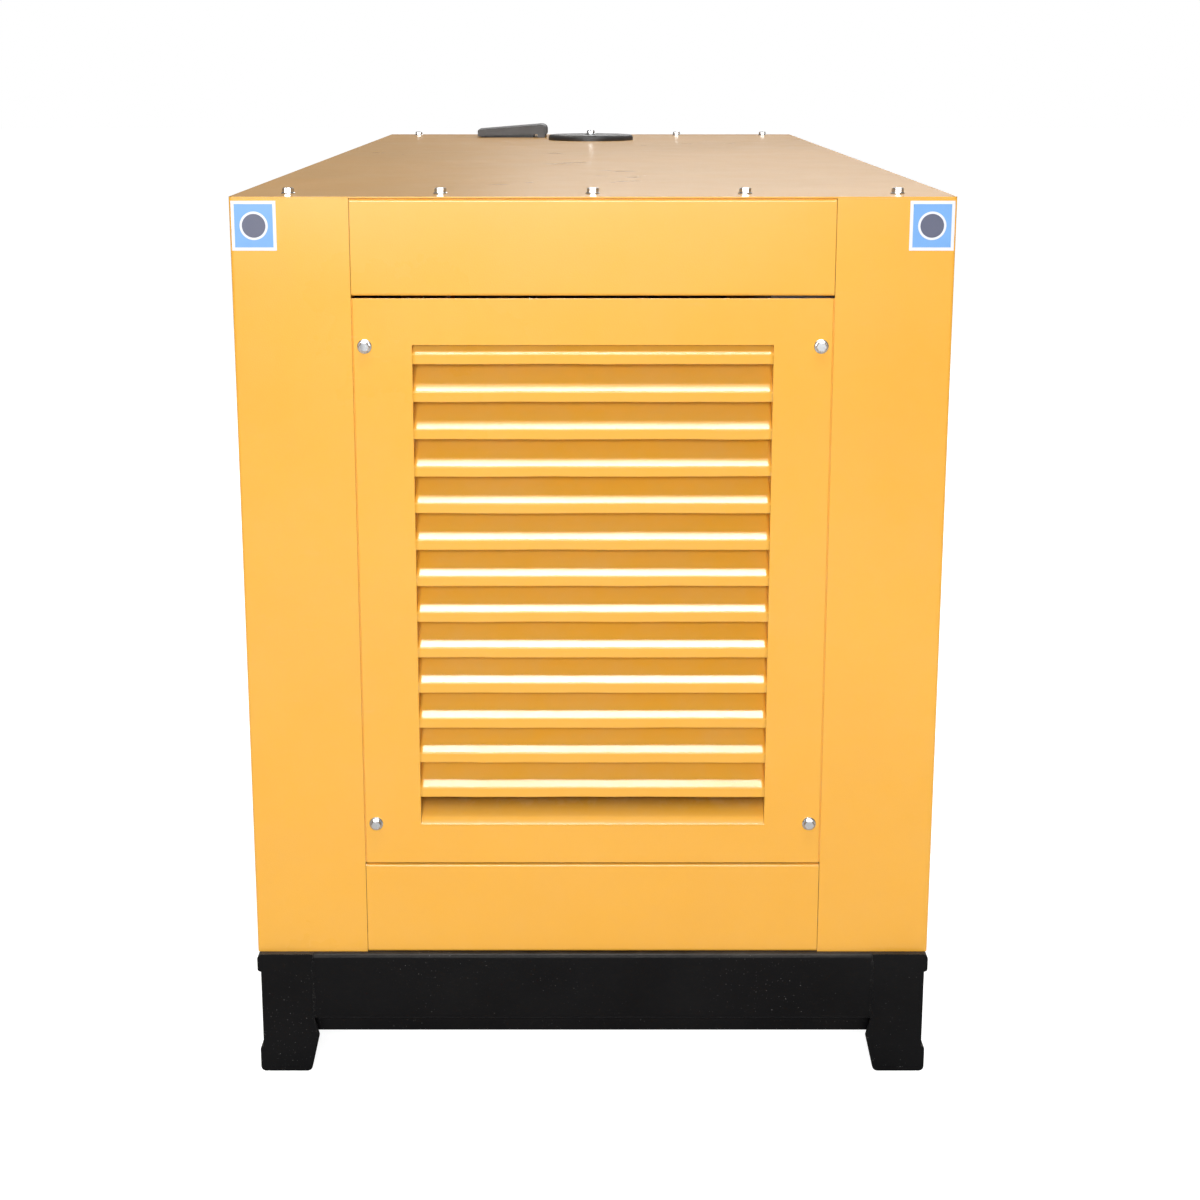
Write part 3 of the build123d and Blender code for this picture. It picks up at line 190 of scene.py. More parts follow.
def speckGroup():
    # small light specks and short rub marks
    tree = bpy.data.node_groups.new("specksAndRubs", "ShaderNodeTree")
    addInput(tree, "Specks", "NodeSocketFloat", 0.5)
    addInput(tree, "Rubs", "NodeSocketFloat", 0.3)
    addOutput(tree, "Speck Mask", "NodeSocketFloat")
    addOutput(tree, "Rub Mask", "NodeSocketFloat")
    given, made = tree.nodes.new("NodeGroupInput"), tree.nodes.new("NodeGroupOutput")
    place = tree.nodes.new("ShaderNodeTexCoord").outputs["Object"]
    dots = addRange(tree, addNoise(tree, place, 420.0, 2.0, 0.5), 0.70, 0.76)
    clusters = addRange(tree, addNoise(tree, place, 7.0, 3.0, 0.5), 0.45, 0.62)
    dots = addMath(tree, "MULTIPLY", dots, clusters)
    long = addVectorMath(tree, "MULTIPLY", place, (16.0, 16.0, 70.0))
    rubs = addRange(tree, addNoise(tree, long, 1.0, 8.0, 0.72), 0.62, 0.78)
    where = addRange(tree, addNoise(tree, place, 4.0, 2.0, 0.5), 0.52, 0.66)
    rubs = addMath(tree, "MULTIPLY", rubs, where)
    for marks, amount, mask in ((dots, "Specks", "Speck Mask"), (rubs, "Rubs", "Rub Mask")):
        tree.links.new(addMath(tree, "MULTIPLY", marks, given.outputs[amount], clamp=True), made.inputs[mask])
    return tree


def driftGroup():
    # slow change of tone over a large surface
    tree = bpy.data.node_groups.new("toneDrift", "ShaderNodeTree")
    addInput(tree, "Colour", "NodeSocketColor", (0.5, 0.5, 0.5, 1.0))
    addInput(tree, "Other Colour", "NodeSocketColor", (0.4, 0.4, 0.4, 1.0))
    addInput(tree, "Scale", "NodeSocketFloat", 3.0)
    addOutput(tree, "Colour", "NodeSocketColor")
    addOutput(tree, "Drift", "NodeSocketFloat")
    given, made = tree.nodes.new("NodeGroupInput"), tree.nodes.new("NodeGroupOutput")
    place = tree.nodes.new("ShaderNodeTexCoord").outputs["Object"]
    drift = addRange(tree, addNoise(tree, place, given.outputs["Scale"], 5.0, 0.55), 0.3, 0.7)
    mixed = mixColours(tree, drift, given.outputs["Colour"], given.outputs["Other Colour"])
    tree.links.new(mixed, made.inputs["Colour"])
    tree.links.new(drift, made.inputs["Drift"])
    return tree


groups = {
    "peel": peelGroup(),
    "edge": edgeGroup(),
    "dust": dustGroup(),
    "specks": speckGroup(),
    "drift": driftGroup(),
}
print("stage: shader groups made")


# finishes

# colour, otherColour: the two tones the surface drifts between; worn: what shows on rubbed edges
finishes = {
    "canopy_paint": dict(colour=(0.9, 0.45, 0.05), otherColour=(0.87, 0.42, 0.042), worn=(0.96, 0.66, 0.3),
        dust=(0.62, 0.52, 0.38), roughness=0.3, roughSpread=0.1, grainScale=620, grainDepth=0.55,
        ripple=14.0, bump=0.00032, edge=0.0016, wear=0.28, dustTop=0.12, film=0.03, specks=0.2, rubs=0.1,
        coat=1.0, driftScale=2.2, gloss=0.15),
    "base_paint": dict(colour=(0.0022, 0.0022, 0.0027), otherColour=(0.004, 0.004, 0.0046),
        worn=(0.16, 0.155, 0.15), dust=(0.2, 0.18, 0.155), roughness=0.36, roughSpread=0.16, grainScale=420,
        grainDepth=0.8, ripple=5.0, bump=0.0004, edge=0.0018, wear=0.55, dustTop=0.25, film=0.006,
        specks=0.95, rubs=0.1, driftScale=6.0, gloss=0.12),
    "tank_paint": dict(colour=(0.012, 0.012, 0.013), otherColour=(0.02, 0.02, 0.021),
        worn=(0.14, 0.14, 0.14), dust=(0.2, 0.18, 0.15), roughness=0.42, roughSpread=0.14, grainScale=380,
        grainDepth=0.7, ripple=4.0, bump=0.0004, edge=0.002, dustTop=0.45, specks=0.4, rubs=0.2),
    "black_plastic": dict(colour=(0.013, 0.013, 0.015), otherColour=(0.02, 0.02, 0.023),
        worn=(0.11, 0.11, 0.115), dust=(0.26, 0.24, 0.21), roughness=0.46, roughSpread=0.14,
        grainScale=1500, grainDepth=0.8, ripple=1.0, bump=0.00022, edge=0.0012, dustTop=0.3, film=0.04,
        specks=0.5, rubs=0.2),
    "zinc": dict(colour=(0.66, 0.67, 0.69), otherColour=(0.5, 0.51, 0.52), worn=(0.82, 0.82, 0.8),
        dust=(0.4, 0.37, 0.32), roughness=0.27, roughSpread=0.18, grainScale=1200, grainDepth=0.5,
        bump=0.0001, edge=0.0005, wear=0.5, dustTop=0.12, film=0.03, metallic=1.0, driftScale=60.0),
    "black_steel": dict(colour=(0.013, 0.013, 0.015), otherColour=(0.02, 0.02, 0.023),
        worn=(0.22, 0.22, 0.22), dust=(0.25, 0.23, 0.2), roughness=0.4, roughSpread=0.16, grainScale=700,
        grainDepth=0.8, ripple=1.0, edge=0.001, wear=0.5, dustTop=0.25, film=0.03, specks=0.6, rubs=0.3),
    "foam": dict(colour=(0.018, 0.018, 0.02), otherColour=(0.03, 0.03, 0.032), worn=(0.05, 0.05, 0.05),
        dust=(0.12, 0.11, 0.1), roughness=0.95, roughSpread=0.05, grainScale=900, grainDepth=2.6,
        bump=0.0012, edge=0.0, wear=0.0, dustTop=0.2, driftScale=18.0),
    "engine_paint": dict(colour=(0.045, 0.05, 0.055), otherColour=(0.065, 0.07, 0.075),
        worn=(0.2, 0.19, 0.18), dust=(0.16, 0.13, 0.1), roughness=0.5, grainScale=260, grainDepth=1.6,
        ripple=2.0, bump=0.0008, edge=0.003, wear=0.5, film=0.1, specks=0.5, rubs=0.3),
    "head_paint": dict(colour=(0.3, 0.31, 0.32), otherColour=(0.22, 0.225, 0.23), worn=(0.5, 0.5, 0.5),
        dust=(0.14, 0.11, 0.08), roughness=0.48, grainScale=320, grainDepth=1.5, ripple=1.0, bump=0.0007,
        edge=0.003, wear=0.5, dustTop=0.3, film=0.12, metallic=0.85, rubs=0.3),
    "generator_paint": dict(colour=(0.1, 0.115, 0.13), otherColour=(0.075, 0.085, 0.1),
        worn=(0.26, 0.26, 0.25), dust=(0.22, 0.19, 0.15), roughness=0.42, grainScale=340, grainDepth=1.1,
        ripple=2.0, bump=0.0006, edge=0.003, wear=0.5, film=0.07, specks=0.4, rubs=0.3),
    "copper_steel": dict(colour=(0.42, 0.2, 0.1), otherColour=(0.28, 0.13, 0.07), worn=(0.6, 0.4, 0.28),
        dust=(0.15, 0.12, 0.09), roughness=0.4, grainScale=500, grainDepth=1.0, bump=0.0005, edge=0.002,
        wear=0.4, dustTop=0.2, metallic=0.8),
    "steel": dict(colour=(0.42, 0.42, 0.43), otherColour=(0.3, 0.3, 0.3), worn=(0.62, 0.62, 0.6),
        dust=(0.16, 0.12, 0.09), roughness=0.34, grainScale=800, grainDepth=0.7, bump=0.0002, wear=0.5,
        dustTop=0.15, metallic=1.0, rubs=0.4),
    "belt_rubber": dict(colour=(0.016, 0.016, 0.016), otherColour=(0.026, 0.026, 0.026),
        worn=(0.06, 0.06, 0.06), dust=(0.2, 0.18, 0.16), roughness=0.78, roughSpread=0.12, grainScale=1100,
        grainDepth=1.2, bump=0.0004, edge=0.001, dustTop=0.3, film=0.12, driftScale=12.0),
    "fan_plastic": dict(colour=(0.02, 0.02, 0.021), otherColour=(0.03, 0.03, 0.031),
        worn=(0.08, 0.08, 0.08), dust=(0.24, 0.21, 0.18), roughness=0.38, roughSpread=0.15, grainScale=1300,
        grainDepth=0.6, ripple=0.5, bump=0.0002, dustTop=0.5, film=0.12),
    "radiator_metal": dict(colour=(0.03, 0.03, 0.032), otherColour=(0.045, 0.045, 0.048),
        worn=(0.2, 0.2, 0.2), dust=(0.24, 0.21, 0.17), roughness=0.45, grainScale=500, grainDepth=0.8,
        ripple=1.0, wear=0.4, film=0.1, metallic=0.4),
    "exhaust_steel": dict(colour=(0.3, 0.26, 0.22), otherColour=(0.17, 0.1, 0.065), worn=(0.5, 0.44, 0.36),
        dust=(0.26, 0.13, 0.07), roughness=0.48, roughSpread=0.25, grainScale=420, grainDepth=1.4,
        ripple=1.0, bump=0.0005, edge=0.002, wear=0.4, dustTop=0.25, film=0.22, metallic=0.75,
        driftScale=7.0, rubs=0.3),
    "filter_paint": dict(colour=(0.028, 0.028, 0.031), otherColour=(0.04, 0.04, 0.044),
        worn=(0.18, 0.18, 0.18), dust=(0.24, 0.21, 0.18), roughness=0.35, roughSpread=0.18, grainScale=700,
        grainDepth=0.6, ripple=2.0, dustTop=0.45, specks=0.4, rubs=0.3),
    "control_paint": dict(colour=(0.36, 0.37, 0.375), otherColour=(0.32, 0.33, 0.335),
        worn=(0.55, 0.55, 0.55), dust=(0.28, 0.25, 0.21), roughness=0.42, roughSpread=0.12, grainScale=700,
        grainDepth=0.9, ripple=3.0, edge=0.0012, wear=0.35, dustTop=0.3, film=0.04, specks=0.3, rubs=0.3),
    "key_metal": dict(colour=(0.74, 0.74, 0.75), otherColour=(0.6, 0.6, 0.61), worn=(0.85, 0.85, 0.85),
        dust=(0.3, 0.28, 0.25), roughness=0.16, roughSpread=0.12, grainScale=1500, grainDepth=0.3,
        bump=8e-05, edge=0.0004, dustTop=0.1, film=0.02, metallic=1.0, driftScale=80.0, rubs=0.4),
    "red_plastic": dict(colour=(0.62, 0.018, 0.012), otherColour=(0.52, 0.014, 0.01),
        worn=(0.75, 0.15, 0.12), dust=(0.35, 0.24, 0.2), roughness=0.28, roughSpread=0.12, grainScale=1500,
        grainDepth=0.5, bump=0.0001, edge=0.0008, dustTop=0.15, film=0.02, coat=0.3),
}
materials = {}


def fourth(colour):
    return (*colour, 1.0)


def placeGroup(tree, name, **values):
    node = tree.nodes.new("ShaderNodeGroup")
    node.node_tree = groups[name]
    for socket, value in values.items():
        node.inputs[socket.replace("_", " ")].default_value = value
    return node


def makeFinish(name, colour, otherColour, worn, dust, roughness, grainScale, grainDepth, roughSpread=0.2,
               ripple=0.0, bump=0.0003, edge=0.0015, wear=0.3, dustTop=0.4, film=0.05, specks=0.0, rubs=0.0,
               metallic=0.0, coat=0.0, driftScale=4.0, gloss=0.5):
    material = bpy.data.materials.new(name)
    material.use_nodes = True
    material.diffuse_color = fourth(colour)
    tree = material.node_tree
    shader = tree.nodes["Principled BSDF"]
    shader.inputs["Metallic"].default_value = metallic
    shader.inputs["Coat Weight"].default_value = coat
    shader.inputs["Specular IOR Level"].default_value = gloss
    shader.inputs["Coat Roughness"].default_value = 0.19
    drift = placeGroup(tree, "drift", Colour=fourth(colour), Other_Colour=fourth(otherColour),
                       Scale=driftScale)
    settled = placeGroup(tree, "dust", Amount=dustTop, Film=film)
    marks = placeGroup(tree, "specks", Specks=specks, Rubs=rubs)
    peel = placeGroup(tree, "peel", Grain_Scale=float(grainScale), Grain_Depth=grainDepth,
                      Ripple_Depth=ripple)
    tone = mixColours(tree, settled.outputs["Mask"], drift.outputs["Colour"], fourth(dust))
    if rubs > 0:
        tone = mixColours(tree, marks.outputs["Rub Mask"], tone, fourth(dust))
    if specks > 0:
        tone = mixColours(tree, marks.outputs["Speck Mask"], tone, fourth(worn))
    relief = tree.nodes.new("ShaderNodeBump")
    relief.inputs["Distance"].default_value = bump
    relief.inputs["Strength"].default_value = 1.0
    tree.links.new(peel.outputs["Height"], relief.inputs["Height"])
    if edge > 0:
        edges = placeGroup(tree, "edge", Radius=edge, Amount=wear)
        tone = mixColours(tree, edges.outputs["Mask"], tone, fourth(worn))
        tree.links.new(edges.outputs["Normal"], relief.inputs["Normal"])
    smoothest, roughest = roughness - roughSpread / 2, roughness + roughSpread / 2
    rough = addRange(tree, drift.outputs["Drift"], 0.0, 1.0, smoothest, roughest)
    rough = addMath(tree, "ADD", rough, addMath(tree, "MULTIPLY", settled.outputs["Mask"], 0.5), clamp=True)
    rough = addMath(tree, "ADD", rough, addMath(tree, "MULTIPLY", marks.outputs["Rub Mask"], 0.3), clamp=True)
    tree.links.new(tone, shader.inputs["Base Color"])
    tree.links.new(rough, shader.inputs["Roughness"])
    tree.links.new(relief.outputs["Normal"], shader.inputs["Normal"])
    materials[name] = material
    return material


for slotName, values in finishes.items():
    makeFinish(slotName, **values)


def makeGlass():
    material = bpy.data.materials.new("glass")
    material.use_nodes = True
    shader = material.node_tree.nodes["Principled BSDF"]
    shader.inputs["Base Color"].default_value = (0.90, 0.94, 0.94, 1.0)
    shader.inputs["Transmission Weight"].default_value = 0.95
    shader.inputs["IOR"].default_value = 1.49
    settled = placeGroup(material.node_tree, "dust", Amount=0.2, Film=0.10)
    rough = addRange(material.node_tree, settled.outputs["Mask"], 0.0, 0.3, 0.03, 0.22)
    material.node_tree.links.new(rough, shader.inputs["Roughness"])
    materials["glass"] = material


makeGlass()

# films, lamps and other small finishes that only Blender pieces wear
smallFinishes = {
    "badge_white": dict(colour=(0.80, 0.81, 0.86), otherColour=(0.76, 0.77, 0.83), roughness=0.32),
    "badge_blue": dict(colour=(0.15, 0.37, 0.76), otherColour=(0.17, 0.40, 0.79), roughness=0.30),
    "badge_dark": dict(colour=(0.075, 0.085, 0.15), otherColour=(0.095, 0.105, 0.17), roughness=0.34),
    "screen_green": dict(colour=(0.20, 0.28, 0.20), otherColour=(0.17, 0.25, 0.18), roughness=0.12),
    "key_grey": dict(colour=(0.16, 0.165, 0.17), otherColour=(0.13, 0.135, 0.14), roughness=0.5),
    "lamp_green": dict(colour=(0.02, 0.42, 0.05), otherColour=(0.02, 0.36, 0.05), roughness=0.15),
    "lamp_amber": dict(colour=(0.75, 0.30, 0.02), otherColour=(0.65, 0.26, 0.02), roughness=0.15),
    "collar_yellow": dict(colour=(0.80, 0.55, 0.02), otherColour=(0.74, 0.50, 0.02), roughness=0.35),
    "lead_grey": dict(colour=(0.22, 0.22, 0.23), otherColour=(0.15, 0.15, 0.16),
                      roughness=0.55, metallic=0.8),
    "fin_metal": dict(colour=(0.10, 0.10, 0.105), otherColour=(0.14, 0.14, 0.14),
                      roughness=0.4, metallic=0.7),
}
for slotName, values in smallFinishes.items():
    makeFinish(slotName, worn=(0.6, 0.6, 0.6), dust=(0.30, 0.28, 0.25), roughSpread=0.10, grainScale=1400,
               grainDepth=0.4, ripple=0.3, bump=0.00012, edge=0.0003, wear=0.25, dustTop=0.15, film=0.03,
               rubs=0.15, driftScale=14.0, **values)

slotOfNode = {part["node"]: part["material_slot"] for part in frame["record"]["subparts"]}
for nodeName, node in frame["nodes"].items():
    for materialSlot in node.material_slots:
        materialSlot.material = materials[slotOfNode[nodeName]]
print("stage: finishes made and put on the frame")


# mesh helpers

def meshPiece(name, builder, *finishNames):
    mesh = bpy.data.meshes.new(name)
    builder.to_mesh(mesh)
    builder.free()
    for finish in finishNames:
        mesh.materials.append(materials[finish])
    piece = bpy.data.objects.new(name, mesh)
    collection.objects.link(piece)
    return piece


def putOn(piece, body, slotName=None, *replaced):
    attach(piece, body)
    if replaced:
        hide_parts(*replaced)
    return piece


def finishPiece(name, builder, *finishNames):
    # faces turned outward, then made into an object
    bmesh.ops.recalc_face_normals(builder, faces=builder.faces[:])
    return meshPiece(name, builder, *finishNames)


def frozen(source, name):
    # the evaluated result as a plain mesh
    graph = bpy.context.evaluated_depsgraph_get()
    graph.update()
    mesh = bpy.data.meshes.new_from_object(source.evaluated_get(graph), depsgraph=graph)
    mesh.name = name
    old = source.data
    bpy.data.objects.remove(source)
    bpy.data.meshes.remove(old)
    piece = bpy.data.objects.new(name, mesh)
    collection.objects.link(piece)
    return piece


def addBlock(builder, low, high, edgeRadius=0.0, steps=2, finish=0):
    # a block with its edges rounded over
    made = bmesh.ops.create_cube(builder, size=1.0)["verts"]
    low, high = Vector(low), Vector(high)
    for vert in made:
        vert.co = Vector([low[i] + (vert.co[i] + 0.5) * (high[i] - low[i]) for i in range(3)])
    faces = {face for vert in made for face in vert.link_faces}
    if edgeRadius > 0:
        edges = {edge for face in faces for edge in face.edges}
        result = bmesh.ops.bevel(builder, geom=list(edges), offset=edgeRadius, segments=steps, profile=0.5,
                                 affect="EDGES", clamp_overlap=True)
        faces = {face for vert in result["verts"] for face in vert.link_faces}
    for face in faces:
        if face.is_valid:
            face.material_index = finish
            face.smooth = edgeRadius > 0
    return builder


def shiftedBlock(builder, low, lowShift, high, highShift, edge, steps=2, finish=0):
    # a block between two places, each moved by a shift; shifts and edge in millimetres
    low, high = Vector(low) + Vector(lowShift) * mm, Vector(high) + Vector(highShift) * mm
    return addBlock(builder, low, high, edge * mm, steps, finish)


def addTurned(builder, profile, centre, axis, steps=32, finish=0):
    # profile: pairs of (radius, distance along the axis), turned about the axis
    turn = Vector((0, 0, 1)).rotation_difference(Vector(axis)).to_matrix().to_4x4()
    place = Matrix.Translation(Vector(centre)) @ turn
    rings = []
    for radius, along in profile:
        if radius < 1e-6:
            rings.append([builder.verts.new(place @ Vector((0, 0, along)))])
            continue
        ring = []
        for step in range(steps):
            angle = 2 * math.pi * step / steps
            spot = Vector((radius * math.cos(angle), radius * math.sin(angle), along))
            ring.append(builder.verts.new(place @ spot))
        rings.append(ring)
    for lower, upper in zip(rings, rings[1:]):
        for step in range(steps):
            following = (step + 1) % steps
            corners = [lower[step % len(lower)], lower[following % len(lower)],
                       upper[following % len(upper)], upper[step % len(upper)]]
            corners = list(dict.fromkeys(corners))
            if len(corners) > 2:
                face = builder.faces.new(corners)
                face.smooth = True
                face.material_index = finish
    return builder


def turnedMm(builder, profile, centre, axis, steps=32, finish=0):
    # the same with a profile written in millimetres
    return addTurned(builder, [(r * mm, along * mm) for r, along in profile], centre, axis, steps, finish)


def sweptLoop(builder, points, section, closed=True, finish=0):
    # section: (sideways, outward) pairs; points carry (place, outward direction)
    count = len(points)
    rings = []
    for step, (place, outward) in enumerate(points):
        before = points[step - 1][0] if closed or step > 0 else place
        after = points[(step + 1) % count][0] if closed or step < count - 1 else place
        forward = (after - before).normalized()
        sideways = forward.cross(outward).normalized()
        rings.append([builder.verts.new(place + sideways * a + outward * b) for a, b in section])
    spans = range(count) if closed else range(count - 1)
    for step in spans:
        first, second = rings[step], rings[(step + 1) % count]
        for corner in range(len(section)):
            following = (corner + 1) % len(section)
            face = builder.faces.new((first[corner], first[following], second[following], second[corner]))
            face.smooth = True
            face.material_index = finish
    return builder


def roundedPath(corners, radius, steps=5):
    # closed path through the corners, each turned with an arc
    path = []
    for place, corner in enumerate(corners):
        before, after = corners[place - 1], corners[(place + 1) % len(corners)]
        start = corner + (before - corner).normalized() * radius
        end = corner + (after - corner).normalized() * radius
        for step in range(steps + 1):
            t = step / steps
            path.append(start * (1 - t) ** 2 + corner * 2 * t * (1 - t) + end * t ** 2)
    return path


# geometry nodes trees

def startTree(name):
    tree = bpy.data.node_groups.new(name, "GeometryNodeTree")
    tree.is_modifier = True
    addInput(tree, "Geometry", "NodeSocketGeometry")
    addOutput(tree, "Geometry", "NodeSocketGeometry")
    return tree, tree.nodes.new("NodeGroupInput"), tree.nodes.new("NodeGroupOutput")


def feed(tree, node, **sources):
    for name, source in sources.items():
        socket = node.inputs[name.replace("_", " ")]
        if isinstance(source, bpy.types.NodeSocket):
            tree.links.new(source, socket)
        else:
            socket.default_value = source
    return node


def endTree(tree, given, made, geometry, smooth=False):
    realised = tree.nodes.new("GeometryNodeRealizeInstances")
    tree.links.new(geometry, realised.inputs["Geometry"])
    shaded = tree.nodes.new("GeometryNodeSetShadeSmooth")
    shaded.inputs["Shade Smooth"].default_value = smooth
    tree.links.new(realised.outputs["Geometry"], shaded.inputs["Geometry"])
    dressed = tree.nodes.new("GeometryNodeSetMaterial")
    tree.links.new(shaded.outputs["Geometry"], dressed.inputs["Geometry"])
    tree.links.new(given.outputs["Finish"], dressed.inputs["Material"])
    tree.links.new(dressed.outputs["Geometry"], made.inputs["Geometry"])


def onPoints(tree, points, instance):
    # the instance stands on each point with its z along the point's aim
    aim = tree.nodes.new("GeometryNodeInputNamedAttribute")
    aim.data_type = "FLOAT_VECTOR"
    aim.inputs["Name"].default_value = "aim"
    turn = tree.nodes.new("FunctionNodeAlignRotationToVector")
    turn.axis = "Z"
    tree.links.new(aim.outputs["Attribute"], turn.inputs["Vector"])
    placed = tree.nodes.new("GeometryNodeInstanceOnPoints")
    tree.links.new(points, placed.inputs["Points"])
    tree.links.new(instance, placed.inputs["Instance"])
    tree.links.new(turn.outputs["Rotation"], placed.inputs["Rotation"])
    return placed.outputs["Instances"]


def boltTree():
    # hexagon flange bolt: washer face, flange, six-sided head with its top corners taken off
    tree, given, made = startTree("flangeBolts")
    addInput(tree, "Head Radius", "NodeSocketFloat", 7.5 * mm)
    addInput(tree, "Head Height", "NodeSocketFloat", 5.5 * mm)
    addInput(tree, "Flange Radius", "NodeSocketFloat", 9.0 * mm)
    addInput(tree, "Flange Height", "NodeSocketFloat", 2.0 * mm)
    addInput(tree, "Finish", "NodeSocketMaterial")
    joined = tree.nodes.new("GeometryNodeJoinGeometry")

    def cone(sides, lower, upper, height, base):
        piece = tree.nodes.new("GeometryNodeMeshCone")
        feed(tree, piece, Vertices=sides, Radius_Top=upper, Radius_Bottom=lower, Depth=height)
        moved = tree.nodes.new("GeometryNodeTransform")
        lift = tree.nodes.new("ShaderNodeCombineXYZ")
        feed(tree, lift, Z=base)
        feed(tree, moved, Geometry=piece.outputs["Mesh"], Translation=lift.outputs[0])
        tree.links.new(moved.outputs["Geometry"], joined.inputs["Geometry"])

    flange, flangeHeight = given.outputs["Flange Radius"], given.outputs["Flange Height"]
    head, headHeight = given.outputs["Head Radius"], given.outputs["Head Height"]
    rim = addMath(tree, "MULTIPLY", flangeHeight, 0.55)
    cone(24, flange, flange, rim, 0.0)
    shoulder = addMath(tree, "MULTIPLY", flangeHeight, 0.45)
    cone(24, flange, addMath(tree, "MULTIPLY", head, 1.03), shoulder, rim)
    straight = addMath(tree, "MULTIPLY", headHeight, 0.80)
    cone(6, head, head, straight, flangeHeight)
    chamfer = addMath(tree, "MULTIPLY", headHeight, 0.20)
    top = addMath(tree, "ADD", flangeHeight, straight)
    cone(6, head, addMath(tree, "MULTIPLY", head, 0.84), chamfer, top)
    endTree(tree, given, made, onPoints(tree, given.outputs["Geometry"], joined.outputs["Geometry"]))
    return tree


def barTree():
    # straight bars, one on each point
    tree, given, made = startTree("bars")
    addInput(tree, "Bar Size", "NodeSocketVector", (0.01, 0.01, 0.01))
    addInput(tree, "Finish", "NodeSocketMaterial")
    cube = feed(tree, tree.nodes.new("GeometryNodeMeshCube"), Size=given.outputs["Bar Size"])
    endTree(tree, given, made, onPoints(tree, given.outputs["Geometry"], cube.outputs["Mesh"]))
    return tree


def beadTree():
    # weld bead: flattened scales one after another, each a little different
    tree, given, made = startTree("weldBead")
    addInput(tree, "Bead Radius", "NodeSocketFloat", 3.0 * mm)
    addInput(tree, "Unevenness", "NodeSocketFloat", 0.25)
    addInput(tree, "Seed", "NodeSocketInt", 4)
    addInput(tree, "Finish", "NodeSocketMaterial")
    scale = tree.nodes.new("GeometryNodeMeshIcoSphere")
    feed(tree, scale, Radius=given.outputs["Bead Radius"], Subdivisions=2)
    flat = tree.nodes.new("GeometryNodeTransform")
    feed(tree, flat, Geometry=scale.outputs["Mesh"], Scale=(1.0, 1.0, 0.45))
    placed = onPoints(tree, given.outputs["Geometry"], flat.outputs["Geometry"])
    randomValue = tree.nodes.new("FunctionNodeRandomValue")
    randomValue.data_type = "FLOAT"
    floats = [socket for socket in randomValue.inputs if socket.type == "VALUE" and socket.enabled]
    tree.links.new(addMath(tree, "SUBTRACT", 1.0, given.outputs["Unevenness"]), floats[0])
    tree.links.new(addMath(tree, "ADD", 1.0, given.outputs["Unevenness"]), floats[1])
    tree.links.new(given.outputs["Seed"], randomValue.inputs["Seed"])
    sized = tree.nodes.new("GeometryNodeScaleInstances")
    tree.links.new(placed, sized.inputs["Instances"])
    value = [socket for socket in randomValue.outputs if socket.enabled][0]
    tree.links.new(value, sized.inputs["Scale"])
    endTree(tree, given, made, sized.outputs["Instances"], smooth=True)
    return tree


